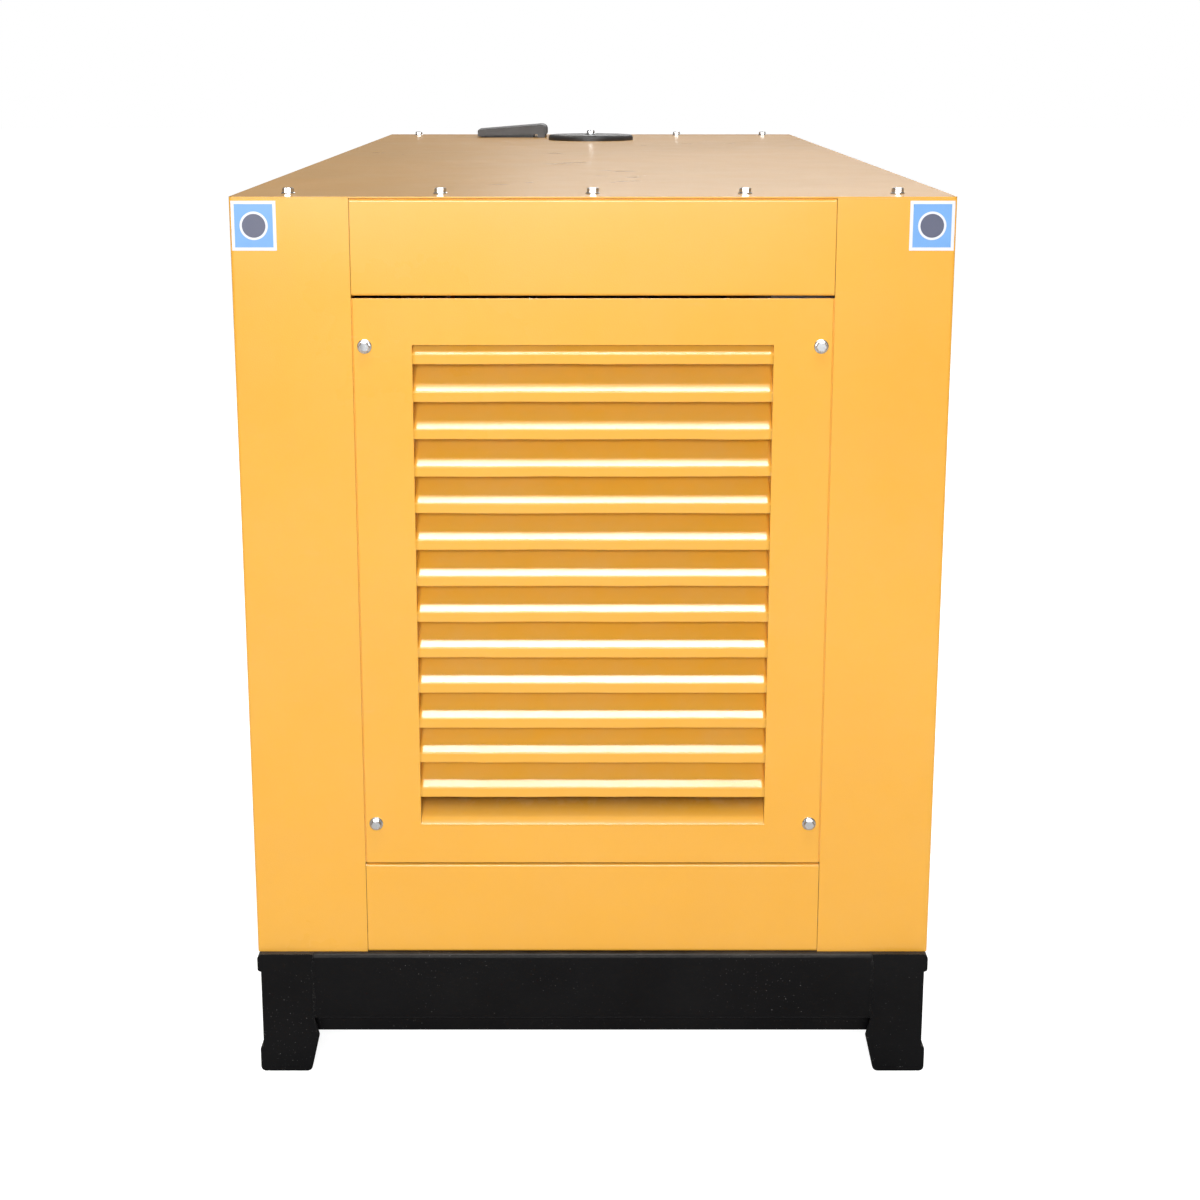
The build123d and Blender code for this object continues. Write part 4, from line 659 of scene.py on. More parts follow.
def louvreTree():
    # a row of weather louvres: upright lip, then the blade running up and in
    tree, given, made = startTree("weatherLouvres")
    for name, value in (("Width", 0.454), ("Spacing", 0.0478), ("Lip", 0.013), ("Depth", 0.038),
                        ("Slope", 1.0), ("Wave", 0.0007), ("Inward", 1.0), ("Face", 0.0), ("Top Foot", 0.0)):
        addInput(tree, name, "NodeSocketFloat", value)
    addInput(tree, "Count", "NodeSocketInt", 13)
    addInput(tree, "Seed", "NodeSocketFloat", 3.0)
    addInput(tree, "Finish", "NodeSocketMaterial")
    get = given.outputs
    lip, depth = get["Lip"], get["Depth"]
    run = addMath(tree, "ADD", lip, depth)
    sheet = feed(tree, tree.nodes.new("GeometryNodeMeshGrid"), Size_X=get["Width"], Size_Y=run, Vertices_X=91,
                 Vertices_Y=52)
    stored = tree.nodes.new("GeometryNodeStoreNamedAttribute")
    stored.data_type = "FLOAT"
    stored.inputs["Name"].default_value = "run"
    tree.links.new(sheet.outputs["Mesh"], stored.inputs["Geometry"])
    place = tree.nodes.new("GeometryNodeInputPosition")
    parts = tree.nodes.new("ShaderNodeSeparateXYZ")
    tree.links.new(place.outputs[0], parts.inputs[0])
    along = addMath(tree, "ADD", parts.outputs["Y"], addMath(tree, "MULTIPLY", run, 0.5))
    tree.links.new(along, stored.inputs["Value"])
    row = tree.nodes.new("GeometryNodeMeshLine")
    downward = addMath(tree, "MULTIPLY", get["Spacing"], -1.0)
    step = feed(tree, tree.nodes.new("ShaderNodeCombineXYZ"), Z=downward)
    feed(tree, row, Count=get["Count"], Offset=step.outputs[0])
    placed = tree.nodes.new("GeometryNodeInstanceOnPoints")
    tree.links.new(row.outputs["Mesh"], placed.inputs["Points"])
    tree.links.new(stored.outputs["Geometry"], placed.inputs["Instance"])
    real = tree.nodes.new("GeometryNodeRealizeInstances")
    tree.links.new(placed.outputs["Instances"], real.inputs["Geometry"])
    runValue = tree.nodes.new("GeometryNodeInputNamedAttribute")
    runValue.data_type = "FLOAT"
    runValue.inputs["Name"].default_value = "run"
    runSocket = runValue.outputs["Attribute"]
    # section: the first part of the run climbs straight up, the rest leans inward
    upright = addMath(tree, "MINIMUM", runSocket, lip)
    leaning = addMath(tree, "MAXIMUM", addMath(tree, "SUBTRACT", runSocket, lip), 0.0)
    rise = addMath(tree, "ADD", upright, addMath(tree, "MULTIPLY", leaning, get["Slope"]))
    here = tree.nodes.new("ShaderNodeSeparateXYZ")
    tree.links.new(place.outputs[0], here.inputs[0])
    ripples = tree.nodes.new("ShaderNodeTexNoise")
    ripples.noise_dimensions = "4D"
    squeezed = feed(tree, tree.nodes.new("ShaderNodeCombineXYZ"),
                    X=addMath(tree, "MULTIPLY", here.outputs["X"], 9.0),
                    Z=addMath(tree, "MULTIPLY", here.outputs["Z"], 60.0))
    feed(tree, ripples, Vector=squeezed.outputs[0], W=get["Seed"], Scale=1.0, Detail=1.0)
    swing = addMath(tree, "SUBTRACT", ripples.outputs["Fac"], 0.5)
    # the lip's free edge wanders most
    fade = addRange(tree, runSocket, 0.0, 0.030, 1.0, 0.15)
    swing = addMath(tree, "MULTIPLY", addMath(tree, "MULTIPLY", swing, get["Wave"]), fade)
    height = addMath(tree, "ADD", addMath(tree, "ADD", here.outputs["Z"], get["Top Foot"]), rise)
    height = addMath(tree, "ADD", height, addMath(tree, "MULTIPLY", swing, 2.0))
    back = addMath(tree, "ADD", leaning, addMath(tree, "ABSOLUTE", swing))
    back = addMath(tree, "ADD", get["Face"], addMath(tree, "MULTIPLY", back, get["Inward"]))
    target = feed(tree, tree.nodes.new("ShaderNodeCombineXYZ"), X=here.outputs["X"], Y=back, Z=height)
    moved = tree.nodes.new("GeometryNodeSetPosition")
    tree.links.new(real.outputs["Geometry"], moved.inputs["Geometry"])
    tree.links.new(target.outputs[0], moved.inputs["Position"])
    endTree(tree, given, made, moved.outputs["Geometry"], smooth=True)
    return tree


trees = {"bolts": boltTree(), "bars": barTree(), "bead": beadTree(), "louvres": louvreTree()}


def pointMesh(name, points, aims):
    mesh = bpy.data.meshes.new(name)
    mesh.from_pydata([tuple(point) for point in points], [], [])
    attribute = mesh.attributes.new("aim", "FLOAT_VECTOR", "POINT")
    attribute.data.foreach_set("vector", [value for aim in aims for value in aim])
    source = bpy.data.objects.new(name, mesh)
    collection.objects.link(source)
    return source


def setTree(source, treeName, **values):
    modifier = source.modifiers.new(treeName, "NODES")
    tree = trees[treeName]
    modifier.node_group = tree
    identifiers = {item.name: item.identifier for item in tree.interface.items_tree if item.in_out == "INPUT"}
    for socket, value in values.items():
        modifier[identifiers[socket.replace("_", " ")]] = value
    source.data.update()


def runTree(source, treeName, name, **values):
    setTree(source, treeName, **values)
    return frozen(source, name)


def flangeBolts(name, points, aims, **sizes):
    source = pointMesh(name, points, aims)
    return runTree(source, "bolts", name, **sizes)


print("stage: geometry node trees made")


# louvred end panels

louvres = dict(count=13, spacing=47.8 * mm, lip=13 * mm, depth=38 * mm, sheet=1.5 * mm, wave=1.1 * mm,
               windowSide=73.5 * mm, belowHead=58.5 * mm, aboveFoot=54.0 * mm, cheek=2 * mm)


def panelSheet(name, node, inward):
    # flat panel with its window, side cheeks and the blade that closes the window's foot
    low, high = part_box(node)
    face = low.y if inward > 0 else high.y
    back = face + inward * 2 * mm
    windowX = high.x - louvres["windowSide"]
    head, foot = high.z - louvres["belowHead"], low.z + louvres["aboveFoot"]
    builder = bmesh.new()
    columns = [low.x, -windowX, windowX, high.x]
    rows = [low.z, foot, head, high.z]
    grid = [[builder.verts.new((x, face, z)) for x in columns] for z in rows]
    for row in range(3):
        for column in range(3):
            if (row, column) == (1, 1):
                continue
            thisRow, nextRow = grid[row], grid[row + 1]
            corners = (thisRow[column], thisRow[column + 1], nextRow[column + 1], nextRow[column])
            builder.faces.new(corners if inward > 0 else corners[::-1])
    grown = bmesh.ops.extrude_face_region(builder, geom=builder.faces[:])
    for item in grown["geom"]:
        if isinstance(item, bmesh.types.BMVert):
            item.co.y = back
    bmesh.ops.recalc_face_normals(builder, faces=builder.faces[:])
    sharp = [edge for edge in builder.edges if len(edge.link_faces) == 2 and edge.calc_face_angle(0) > 0.5]
    bmesh.ops.bevel(builder, geom=sharp, offset=0.7 * mm, segments=3, profile=0.5, affect="EDGES")
    depthEnd = face + inward * louvres["depth"]
    for side in (-1, 1):
        near, far = sorted((side * windowX, side * (windowX + louvres["cheek"])))
        y0, y1 = sorted((face + inward * 1 * mm, depthEnd))
        addBlock(builder, (near, y0, foot), (far, y1, head), 0.4 * mm, 1)
    # foot blade runs up and in from the window's lower edge
    reach = louvres["depth"]
    edge = [(face + inward * 0.2 * mm, foot), (face + inward * reach, foot + reach)]
    thick = louvres["sheet"]
    lower = [builder.verts.new((x, y, z - thick)) for x in (-windowX, windowX) for y, z in edge]
    upper = [builder.verts.new((x, y, z)) for x in (-windowX, windowX) for y, z in edge]
    quads = [(upper[0], upper[2], upper[3], upper[1]), (lower[0], lower[1], lower[3], lower[2]),
             (upper[1], upper[3], lower[3], lower[1]), (upper[0], lower[0], lower[2], upper[2])]
    made = [builder.faces.new(quad) for quad in quads]
    bmesh.ops.recalc_face_normals(builder, faces=made)
    # only the rounded edges are shaded soft, the broad faces stay flat
    for item in builder.faces:
        item.normal_update()
        item.smooth = max(abs(part) for part in item.normal) < 0.995
    return meshPiece(name, builder, "canopy_paint"), windowX, head, face


def endPanel(name, node, inward, seed):
    sheet, windowX, head, face = panelSheet(name + "Sheet", node, inward)
    putOn(sheet, "frame", "canopy_paint", node)
    source = pointMesh(name + "Louvres", [(0, 0, 0)], [(0, 0, 1)])
    setTree(source, "louvres", Width=2 * windowX + 0.8 * mm, Spacing=louvres["spacing"], Lip=louvres["lip"],
            Depth=louvres["depth"], Slope=1.0, Wave=louvres["wave"], Inward=float(inward), Face=face,
            Top_Foot=head - louvres["spacing"] / 2, Count=louvres["count"], Seed=seed,
            Finish=materials["canopy_paint"])
    bend = source.modifiers.new("bend", "BEVEL")
    bend.width = 1.6 * mm
    bend.segments = 3
    bend.limit_method = "ANGLE"
    bend.angle_limit = math.radians(25)
    thick = source.modifiers.new("thickness", "SOLIDIFY")
    thick.thickness = louvres["sheet"]
    thick.offset = -1.0 if inward > 0 else 1.0
    blades = frozen(source, name + "Louvres")
    putOn(blades, "frame", "canopy_paint")
    print("louvres", name, len(blades.data.polygons), "faces")


endPanel("rearPanel", "rear_louvre_panel", 1, 3.0)
endPanel("frontPanel", "front_louvre_panel", -1, 8.0)
print("stage: louvred panels made")


# canopy bolts

canopyBolts = dict(roofX=(0.0, 192 * mm, 384 * mm), roofInset=60 * mm, panelX=286.5 * mm,
                   panelTop=60 * mm, panelFoot=55 * mm)


def canopyBoltPlaces():
    roofLow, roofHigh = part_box("roof_panel")
    panelLow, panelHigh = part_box("rear_louvre_panel")
    points, aims = [], []
    for x in sorted({side * place for side in (-1, 1) for place in canopyBolts["roofX"]}):
        for y in (roofLow.y + canopyBolts["roofInset"], roofHigh.y - canopyBolts["roofInset"]):
            points.append((x, y, roofHigh.z))
            aims.append((0, 0, 1))
    for side in (-1, 1):
        for z in (panelHigh.z - canopyBolts["panelTop"], panelLow.z + canopyBolts["panelFoot"]):
            for y, aim in ((roofLow.y, -1), (roofHigh.y, 1)):
                points.append((side * canopyBolts["panelX"], y, z))
                aims.append((0, aim, 0))
    return points, aims


points, aims = canopyBoltPlaces()
bolts = flangeBolts("canopyBoltHeads", points, aims, Finish=materials["zinc"])
putOn(bolts, "frame", "zinc", "canopy_bolts")
print("stage: canopy bolts made")


# corner badges

badge = dict(width=55.5 * mm, height=61 * mm, side=2.5 * mm, below=3 * mm, border=4.0 * mm, ring=17.5 * mm,
             disc=14.6 * mm, film=0.25 * mm)


def cornerBadges():
    # plain two-tone badge with a ring, on both upper corners of the rear end
    low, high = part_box("corner_post_rear_right")
    builder = bmesh.new()
    top = high.z - badge["below"]
    film = badge["film"]
    for side in (-1, 1):
        outer = side * (high.x - badge["side"])
        inner = outer - side * badge["width"]
        x0, x1 = sorted((outer, inner))
        z0 = top - badge["height"]
        face = low.y
        addBlock(builder, (x0, face - film, z0), (x1, face + 0.05 * mm, top), 0.1 * mm, 1, 0)
        edge = badge["border"]
        addBlock(builder, (x0 + edge, face - film * 1.3, z0 + edge),
                 (x1 - edge, face - film * 0.5, top - edge),
                 0.05 * mm, 1, 1)
        middle = ((x0 + x1) / 2, face - film * 1.3, (z0 + top) / 2)
        for radius, start, finish in ((badge["ring"], film * 0.3, 0), (badge["disc"], film * 0.6, 2)):
            profile = [(0, start), (radius, start), (radius, -film), (0, -film)]
            addTurned(builder, profile[::-1], middle, (0, -1, 0), 48, finish)
    bmesh.ops.recalc_face_normals(builder, faces=builder.faces[:])
    for face in builder.faces:
        face.smooth = False
    return meshPiece("cornerBadges", builder, "badge_white", "badge_blue", "badge_dark")


putOn(cornerBadges(), "frame")
print("stage: badges made")


# foam door liners

liner = dict(step=7.5 * mm, pitch=34 * mm, valley=13 * mm, rim=14 * mm, crown=4 * mm)


def foamLiner(name, node, window=None):
    # egg-crate foam: soft peaks towards the machine, flat where it is glued, edges rounded over
    low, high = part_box(node)
    outward = 1 if high.x > 0 else -1
    glued = high.x if outward > 0 else low.x
    thick = high.x - low.x
    across = max(2, round((high.y - low.y) / liner["step"]))
    up = max(2, round((high.z - low.z) / liner["step"]))
    builder = bmesh.new()
    grid = {}

    def edgeDistance(y, z):
        distance = min(y - low.y, high.y - y, z - low.z, high.z - z)
        if window:
            dy = max(window[0] - y, y - window[1])
            dz = max(window[2] - z, z - window[3])
            distance = min(distance, max(dy, dz))
        return distance

    for i in range(across + 1):
        for j in range(up + 1):
            y = low.y + (high.y - low.y) * i / across
            z = low.z + (high.z - low.z) * j / up
            inside = edgeDistance(y, z)
            if inside < -1e-6:
                continue
            waves = math.sin(2 * math.pi * y / liner["pitch"]) * math.sin(2 * math.pi * z / liner["pitch"])
            settle = min(1.0, max(0.0, inside) / liner["rim"])
            peak = thick - liner["valley"] * (0.5 - 0.5 * waves) * settle
            peak -= liner["crown"] * (1 - math.sqrt(1 - (1 - settle) ** 2))
            peak += 0.8 * mm * noise.noise(Vector((y * 60, z * 60, 3.7)))
            peak = min(peak, thick)
            grid[i, j] = (builder.verts.new((glued - outward * peak, y, z)), builder.verts.new((glued, y, z)))
    for i in range(across):
        for j in range(up):
            corners = [(i, j), (i + 1, j), (i + 1, j + 1), (i, j + 1)]
            if not all(corner in grid for corner in corners):
                continue
            builder.faces.new([grid[corner][0] for corner in corners]).smooth = True
            builder.faces.new([grid[corner][1] for corner in corners[::-1]])
    rims = [edge for edge in builder.edges if len(edge.link_faces) == 1]
    partner = {}
    for front, back in grid.values():
        partner[front] = back
    for edge in rims:
        first, second = edge.verts
        if first in partner and second in partner:
            builder.faces.new((first, second, partner[second], partner[first])).smooth = False
    loose = [vert for vert in builder.verts if not vert.link_faces]
    bmesh.ops.delete(builder, geom=loose, context="VERTS")
    return finishPiece(name, builder, "foam")


def linerWindow():
    low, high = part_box("door_window")
    gap = 12 * mm
    return (low.y - gap, high.y + gap, low.z - gap, high.z + gap)


for corner in ("rear_right", "rear_left", "front_right", "front_left"):
    words = corner.split("_")
    window = linerWindow() if corner == "rear_right" else None
    piece = foamLiner("doorFoam" + words[0].title() + words[1].title(), "door_liner_" + corner, window)
    putOn(piece, "door_" + corner, "foam", "door_liner_" + corner)
print("stage: foam liners made")


# door seals

seal = dict(width=11 * mm, height=1.75 * mm, fromEdge=8 * mm, corner=20 * mm, flangeX=428 * mm,
            outerEnd=1047 * mm)


def doorSeals():
    # hollow rubber strip on the flanges that the doors close against
    builder = bmesh.new()
    for corner in ("rear_right", "rear_left", "front_right", "front_left"):
        low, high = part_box("door_" + corner)
        side = 1 if high.x > 0 else -1
        end = 1 if low.y > 0 else -1
        x = side * seal["flangeX"]
        outward = Vector((side, 0, 0))
        yInner = low.y if end > 0 else high.y
        yOuter = end * seal["outerEnd"]
        inset = seal["fromEdge"]
        ys = sorted((yInner + end * inset, yOuter - end * (inset + 1 * mm)))
        zs = (low.z + inset, high.z - inset)
        around = ((0, 0), (1, 0), (1, 1), (0, 1))
        corners = [Vector((x, ys[first], zs[second])) for first, second in around]
        path = roundedPath(corners, seal["corner"])
        half, tall = seal["width"] / 2, seal["height"]
        section = [(-half, 0), (half, 0), (half * 0.9, tall * 0.6), (half * 0.45, tall), (-half * 0.45, tall),
                   (-half * 0.9, tall * 0.6)]
        sweptLoop(builder, [(point, outward) for point in path], section)
    return finishPiece("doorSeals", builder, "belt_rubber")


putOn(doorSeals(), "frame", "belt_rubber")
print("stage: door seals made")


# bolt of the round roof cover

boltRise = 11 * mm  # from the roof sheet to the top of the cover's middle


def coverBolt():
    # flange bolt in the middle of the cover
    low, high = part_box("radiator_cover")
    centre = (low + high) / 2
    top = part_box("roof_panel")[1].z + boltRise
    return flangeBolts("coverBolt", [(centre.x, centre.y, top)], [(0, 0, 1)], Head_Radius=8.0 * mm,
                       Head_Height=6.4 * mm, Flange_Radius=10.0 * mm, Flange_Height=2.2 * mm,
                       Finish=materials["zinc"])


putOn(coverBolt(), "radiator_cover", "zinc")


# weld beads on the base

weld = dict(step=3.2 * mm, bead=2.6 * mm, sunk=0.6 * mm, webSunk=0.4 * mm, seamFoot=80 * mm, seamTop=158 * mm,
            pocketNear=295 * mm, pocketFar=505 * mm, pocketCorner=24 * mm)


def weldBeads():
    # where the end crossmembers meet the rails, and round the fork pockets
    low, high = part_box("base_rail_right")
    pocketLow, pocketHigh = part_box("fork_pockets")
    points, aims = [], []

    def run(start, end, aim):
        start, end = Vector(start), Vector(end)
        count = int((end - start).length / weld["step"])
        for step in range(count + 1):
            points.append(start.lerp(end, step / count))
            aims.append(aim)

    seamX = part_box("end_crossmembers")[1].x
    for side in (-1, 1):
        for end in (-1, 1):
            face = end * (high.y - weld["sunk"])
            run((side * seamX, face, weld["seamFoot"]), (side * seamX, face, weld["seamTop"]), (0, end, 0))
        web = side * (pocketHigh.x - weld["webSunk"])
        for near in (-1, 1):
            y0, y1 = sorted((near * weld["pocketNear"], near * weld["pocketFar"]))
            bottom, top = pocketLow.z + weld["pocketCorner"], pocketHigh.z
            aim = (side, 0, 0)
            run((web, y0, top), (web, y1, top), aim)
            run((web, y0, bottom), (web, y0, top), aim)
            run((web, y1, bottom), (web, y1, top), aim)
    source = pointMesh("weldBeads", points, aims)
    return runTree(source, "bead", "weldBeads", Bead_Radius=weld["bead"], Unevenness=0.22, Seed=4,
                   Finish=materials["base_paint"])


putOn(weldBeads(), "frame", "base_paint")
print("stage: roof bolt and weld beads made")


# radiator core

core = dict(tubeStep=13 * mm, finStep=5 * mm, tube=2.2 * mm, fin=0.5 * mm, proud=1.2 * mm, side=20 * mm,
            tank=70 * mm, depth=50 * mm)


def radiatorCore():
    # flat tubes standing up, with rows of fins across them, on both faces of the core
    low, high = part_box("radiator")
    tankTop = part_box("fan_shroud")[1].z + core["tank"]
    left, right = low.x + core["side"], high.x - core["side"]
    foot, head = low.z + core["tank"], tankTop - core["tank"]
    middle = (low.y + high.y) / 2
    half = core["depth"] / 2 + core["proud"]
    tubePoints, finPoints = [], []
    count = int((right - left) / core["tubeStep"])
    for step in range(count + 1):
        tubePoints.append((left + (right - left) * step / count, middle, (foot + head) / 2))
    count = int((head - foot) / core["finStep"])
    for step in range(1, count):
        finPoints.append(((left + right) / 2, middle, foot + (head - foot) * step / count))
    source = pointMesh("radiatorTubes", tubePoints, [(0, 0, 1)] * len(tubePoints))
    tubes = runTree(source, "bars", "radiatorTubes", Bar_Size=(core["tube"], 2 * half, head - foot),
                    Finish=materials["radiator_metal"])
    source = pointMesh("radiatorFins", finPoints, [(0, 0, 1)] * len(finPoints))
    fins = runTree(source, "bars", "radiatorFins", Bar_Size=(right - left, 2 * half - 0.8 * mm, core["fin"]),
                   Finish=materials["fin_metal"])
    putOn(tubes, "frame", "radiator_metal")
    putOn(fins, "frame", "radiator_metal")


radiatorCore()
print("stage: radiator core made")


# engine and generator details

def boltRow(start, end, step):
    start, end = Vector(start), Vector(end)
    count = max(1, round((end - start).length / step))
    return [start.lerp(end, place / count) for place in range(count + 1)]


engineBolts = dict(coverSide=52 * mm, coverEnds=(52 * mm, 52 * mm), coverStep=92 * mm, flangeSide=95 * mm,
                   flangeEnds=(18 * mm, 18 * mm), flangeStep=80 * mm, flangeRise=90 * mm, sumpSide=140 * mm,
                   sumpEnds=(20 * mm, 10 * mm), sumpStep=60 * mm, sumpHeight=378 * mm, bellCount=12,
                   bellReach=192 * mm)


def engineFixings():
    head, sump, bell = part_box("cylinder_head"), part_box("oil_sump"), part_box("flywheel_housing")
    points, aims = [], []

    def row(kind, side, box, height, aim):
        x = side * engineBolts[kind + "Side"]
        near, far = engineBolts[kind + "Ends"]
        start, end = (x, box[0].y + near, height), (x, box[1].y - far, height)
        placed = boltRow(start, end, engineBolts[kind + "Step"])
        points.extend(placed)
        aims.extend([aim] * len(placed))

    for side in (-1, 1):
        row("cover", side, head, head[1].z, (0, 0, 1))
    for side in (-1, 1):
        row("flange", side, head, head[0].z + engineBolts["flangeRise"], (0, 0, 1))
    for side in (-1, 1):
        row("sump", side, sump, engineBolts["sumpHeight"], (side, 0, 0))
    centreZ = (bell[0].z + bell[1].z) / 2
    reach, count = engineBolts["bellReach"], engineBolts["bellCount"]
    for number in range(count):
        angle = math.radians((number + 0.5) * 360 / count)
        points.append((reach * math.cos(angle), bell[0].y + 2 * mm, centreZ + reach * math.sin(angle)))
        aims.append((0, -1, 0))
    return flangeBolts("engineFixings", points, aims, Head_Radius=7.0 * mm, Head_Height=6.0 * mm,
                       Flange_Radius=9.5 * mm, Flange_Height=2.0 * mm, Finish=materials["zinc"])


putOn(engineFixings(), "frame", "zinc")


rocker = dict(ribStart=90 * mm, ribEnd=150 * mm, ribStep=22 * mm, rib=(84 * mm, 5 * mm, 7 * mm),
              capBack=95 * mm, filter=(139 * mm, 120 * mm, 470 * mm))


def rockerFins():
    # cast ribs across the rocker cover and a filler cap at its end
    low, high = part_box("cylinder_head")
    start, end = (0, low.y + rocker["ribStart"], high.z), (0, high.y - rocker["ribEnd"], high.z)
    points = boltRow(start, end, rocker["ribStep"])
    source = pointMesh("rockerRibs", points, [(0, 0, 1)] * len(points))
    ribs = runTree(source, "bars", "rockerRibs", Bar_Size=rocker["rib"], Finish=materials["head_paint"])
    putOn(ribs, "frame", "head_paint")
    builder = bmesh.new()
    profile = [(0, -2), (19, -2), (19, 6), (24, 8), (26, 11), (26, 18), (24, 21), (9, 22), (8, 27), (0, 28)]
    turnedMm(builder, profile, (0, high.y - rocker["capBack"], high.z), (0, 0, 1), 40)
    # oil filter on the block's side, a ribbed can with a rolled seam
    can = [(0, 0), (34, 0), (36, 3), (36, 12), (39, 14), (39, 18), (37, 20), (37, 82), (34, 90), (24, 95),
           (0, 96)]
    turnedMm(builder, can, rocker["filter"], (1, 0, 0), 40)
    putOn(finishPiece("oilFillerAndFilter", builder, "filter_paint"), "frame", "filter_paint")


rockerFins()


pump = dict(corner=(139 * mm, 260 * mm, 560 * mm), size=(62, 190, 74), cylinders=4, outletX=34 * mm,
            firstOutlet=30 * mm, outletStep=42 * mm, outletRise=72 * mm, pipeRise=90 * mm, straight=36 * mm,
            firstHead=95 * mm, headStep=110 * mm, pipe=3.2 * mm, pipeSides=8, pipeSteps=14)


def injectionSet():
    # injection pump on the block with one steel pipe to each cylinder
    x, y, z = pump["corner"]
    outlets = [(x + pump["outletX"], y + pump["firstOutlet"] + pump["outletStep"] * number)
               for number in range(pump["cylinders"])]
    builder = bmesh.new()
    shiftedBlock(builder, pump["corner"], (0, 0, 0), pump["corner"], pump["size"], 6, 3)
    outlet = [(9, 0), (9, 10), (6, 12), (6, 22), (0, 23)]
    for across, along in outlets:
        turnedMm(builder, outlet, (across, along, z + pump["outletRise"]), (0, 0, 1), 20)
    putOn(finishPiece("injectionPump", builder, "head_paint"), "frame", "head_paint")
    builder = bmesh.new()
    sides = pump["pipeSides"]
    turns = [2 * math.pi * side / sides for side in range(sides)]
    section = [(pump["pipe"] * math.cos(turn), pump["pipe"] * math.sin(turn)) for turn in turns]
    for number, (across, along) in enumerate(outlets):
        start = Vector((across, along, z + pump["pipeRise"]))
        headY = pump["firstHead"] + pump["headStep"] * number
        corners = [start, start + Vector((0, 0, pump["straight"])), Vector((172 * mm, headY, 716 * mm)),
                   Vector((150 * mm, headY, 752 * mm)), Vector((104 * mm, headY, 758 * mm))]
        path = smoothRoute(corners, pump["pipeSteps"])
        sweptLoop(builder, steadyFrames(path), section, closed=False)
    openEnds = [edge for edge in builder.edges if len(edge.link_faces) == 1]
    bmesh.ops.holes_fill(builder, edges=openEnds, sides=sides)
    putOn(finishPiece("injectorPipes", builder, "steel"), "frame", "steel")


def smoothRoute(corners, steps):
    # cubic spline through the corners
    padded = [corners[0] * 2 - corners[1]] + corners + [corners[-1] * 2 - corners[-2]]
    path = []
    for place in range(1, len(padded) - 2):
        a, b, c, d = padded[place - 1:place + 3]
        for step in range(steps):
            t = step / steps
            path.append(0.5 * ((2 * b) + (c - a) * t + (2 * a - 5 * b + 4 * c - d) * t ** 2
                               + (3 * b - a - 3 * c + d) * t ** 3))
    path.append(corners[-1])
    return path


def steadyFrames(path):
    # each point with an outward direction that turns as little as it can
    outward = Vector((0.3, 0.9, 0.1))
    frames = []
    for place, point in enumerate(path):
        before, after = path[max(0, place - 1)], path[min(len(path) - 1, place + 1)]
        forward = (after - before).normalized()
        outward = (outward - forward * outward.dot(forward)).normalized()
        frames.append((point, outward.copy()))
    return frames


injectionSet()
print("stage: engine details made")


housing = dict(centreZ=480 * mm, ribReach=203 * mm, ribCount=40, ribEnds=110 * mm, ribTop=0.62, ribFoot=-0.55,
               rib=(5 * mm, 9 * mm), boltCount=8, boltReach=165 * mm, boxSide=118 * mm,
               boxBolts=(72 * mm, 308 * mm), slotCount=7, slotStep=18 * mm, slot=(190 * mm, 3 * mm, 7 * mm))


def generatorDetails():
    low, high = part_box("generator_housing")
    centreZ = housing["centreZ"]
    points, aims = [], []
    for number in range(housing["ribCount"]):
        angle = math.radians(number * 360 / housing["ribCount"])
        direction = Vector((math.cos(angle), 0, math.sin(angle)))
        # the terminal box and the feet leave no room for ribs
        if direction.z > housing["ribTop"] or direction.z < housing["ribFoot"]:
            continue
        points.append(direction * housing["ribReach"] + Vector((0, (low.y + high.y) / 2, centreZ)))
        aims.append(direction)
    source = pointMesh("generatorRibs", points, aims)
    size = (housing["rib"][0], high.y - low.y - housing["ribEnds"], housing["rib"][1])
    ribs = runTree(source, "bars", "generatorRibs", Bar_Size=size, Finish=materials["generator_paint"])
    putOn(ribs, "frame", "generator_paint")
    points, aims = [], []
    reach, count = housing["boltReach"], housing["boltCount"]
    for number in range(count):
        angle = math.radians((number + 0.5) * 360 / count)
        points.append((reach * math.cos(angle), low.y, centreZ + reach * math.sin(angle)))
        aims.append((0, -1, 0))
    for x in (-housing["boxSide"], housing["boxSide"]):
        for along in housing["boxBolts"]:
            points.append((x, low.y + along, high.z))
            aims.append((0, 0, 1))
    bolts = flangeBolts("generatorFixings", points, aims, Head_Radius=6.5 * mm, Head_Height=5.5 * mm,
                        Flange_Radius=9.0 * mm, Flange_Height=2.0 * mm, Finish=materials["zinc"])
    putOn(bolts, "frame", "zinc")
    # air slots in the rear end plate, drawn as thin black bars: painted shade that stands in for the dark
    # inside of each slot
    middle = (housing["slotCount"] - 1) / 2
    points = [(0, low.y + 0.5 * mm, centreZ + (row - middle) * housing["slotStep"])
              for row in range(housing["slotCount"])]
    source = pointMesh("generatorAirSlotShade", points, [(0, 0, 1)] * len(points))
    slotShade = runTree(source, "bars", "generatorAirSlotShade", Bar_Size=housing["slot"],
                    Finish=materials["black_plastic"])
    putOn(slotShade, "frame", "generator_paint")


generatorDetails()
print("stage: generator details made")


# battery

battery = dict(caseSide=8 * mm, lidDrop=18 * mm, near=3 * mm, far=178 * mm, caps=6, capEnds=78 * mm,
               capShift=6 * mm, postEnds=35 * mm, hookOut=6 * mm)


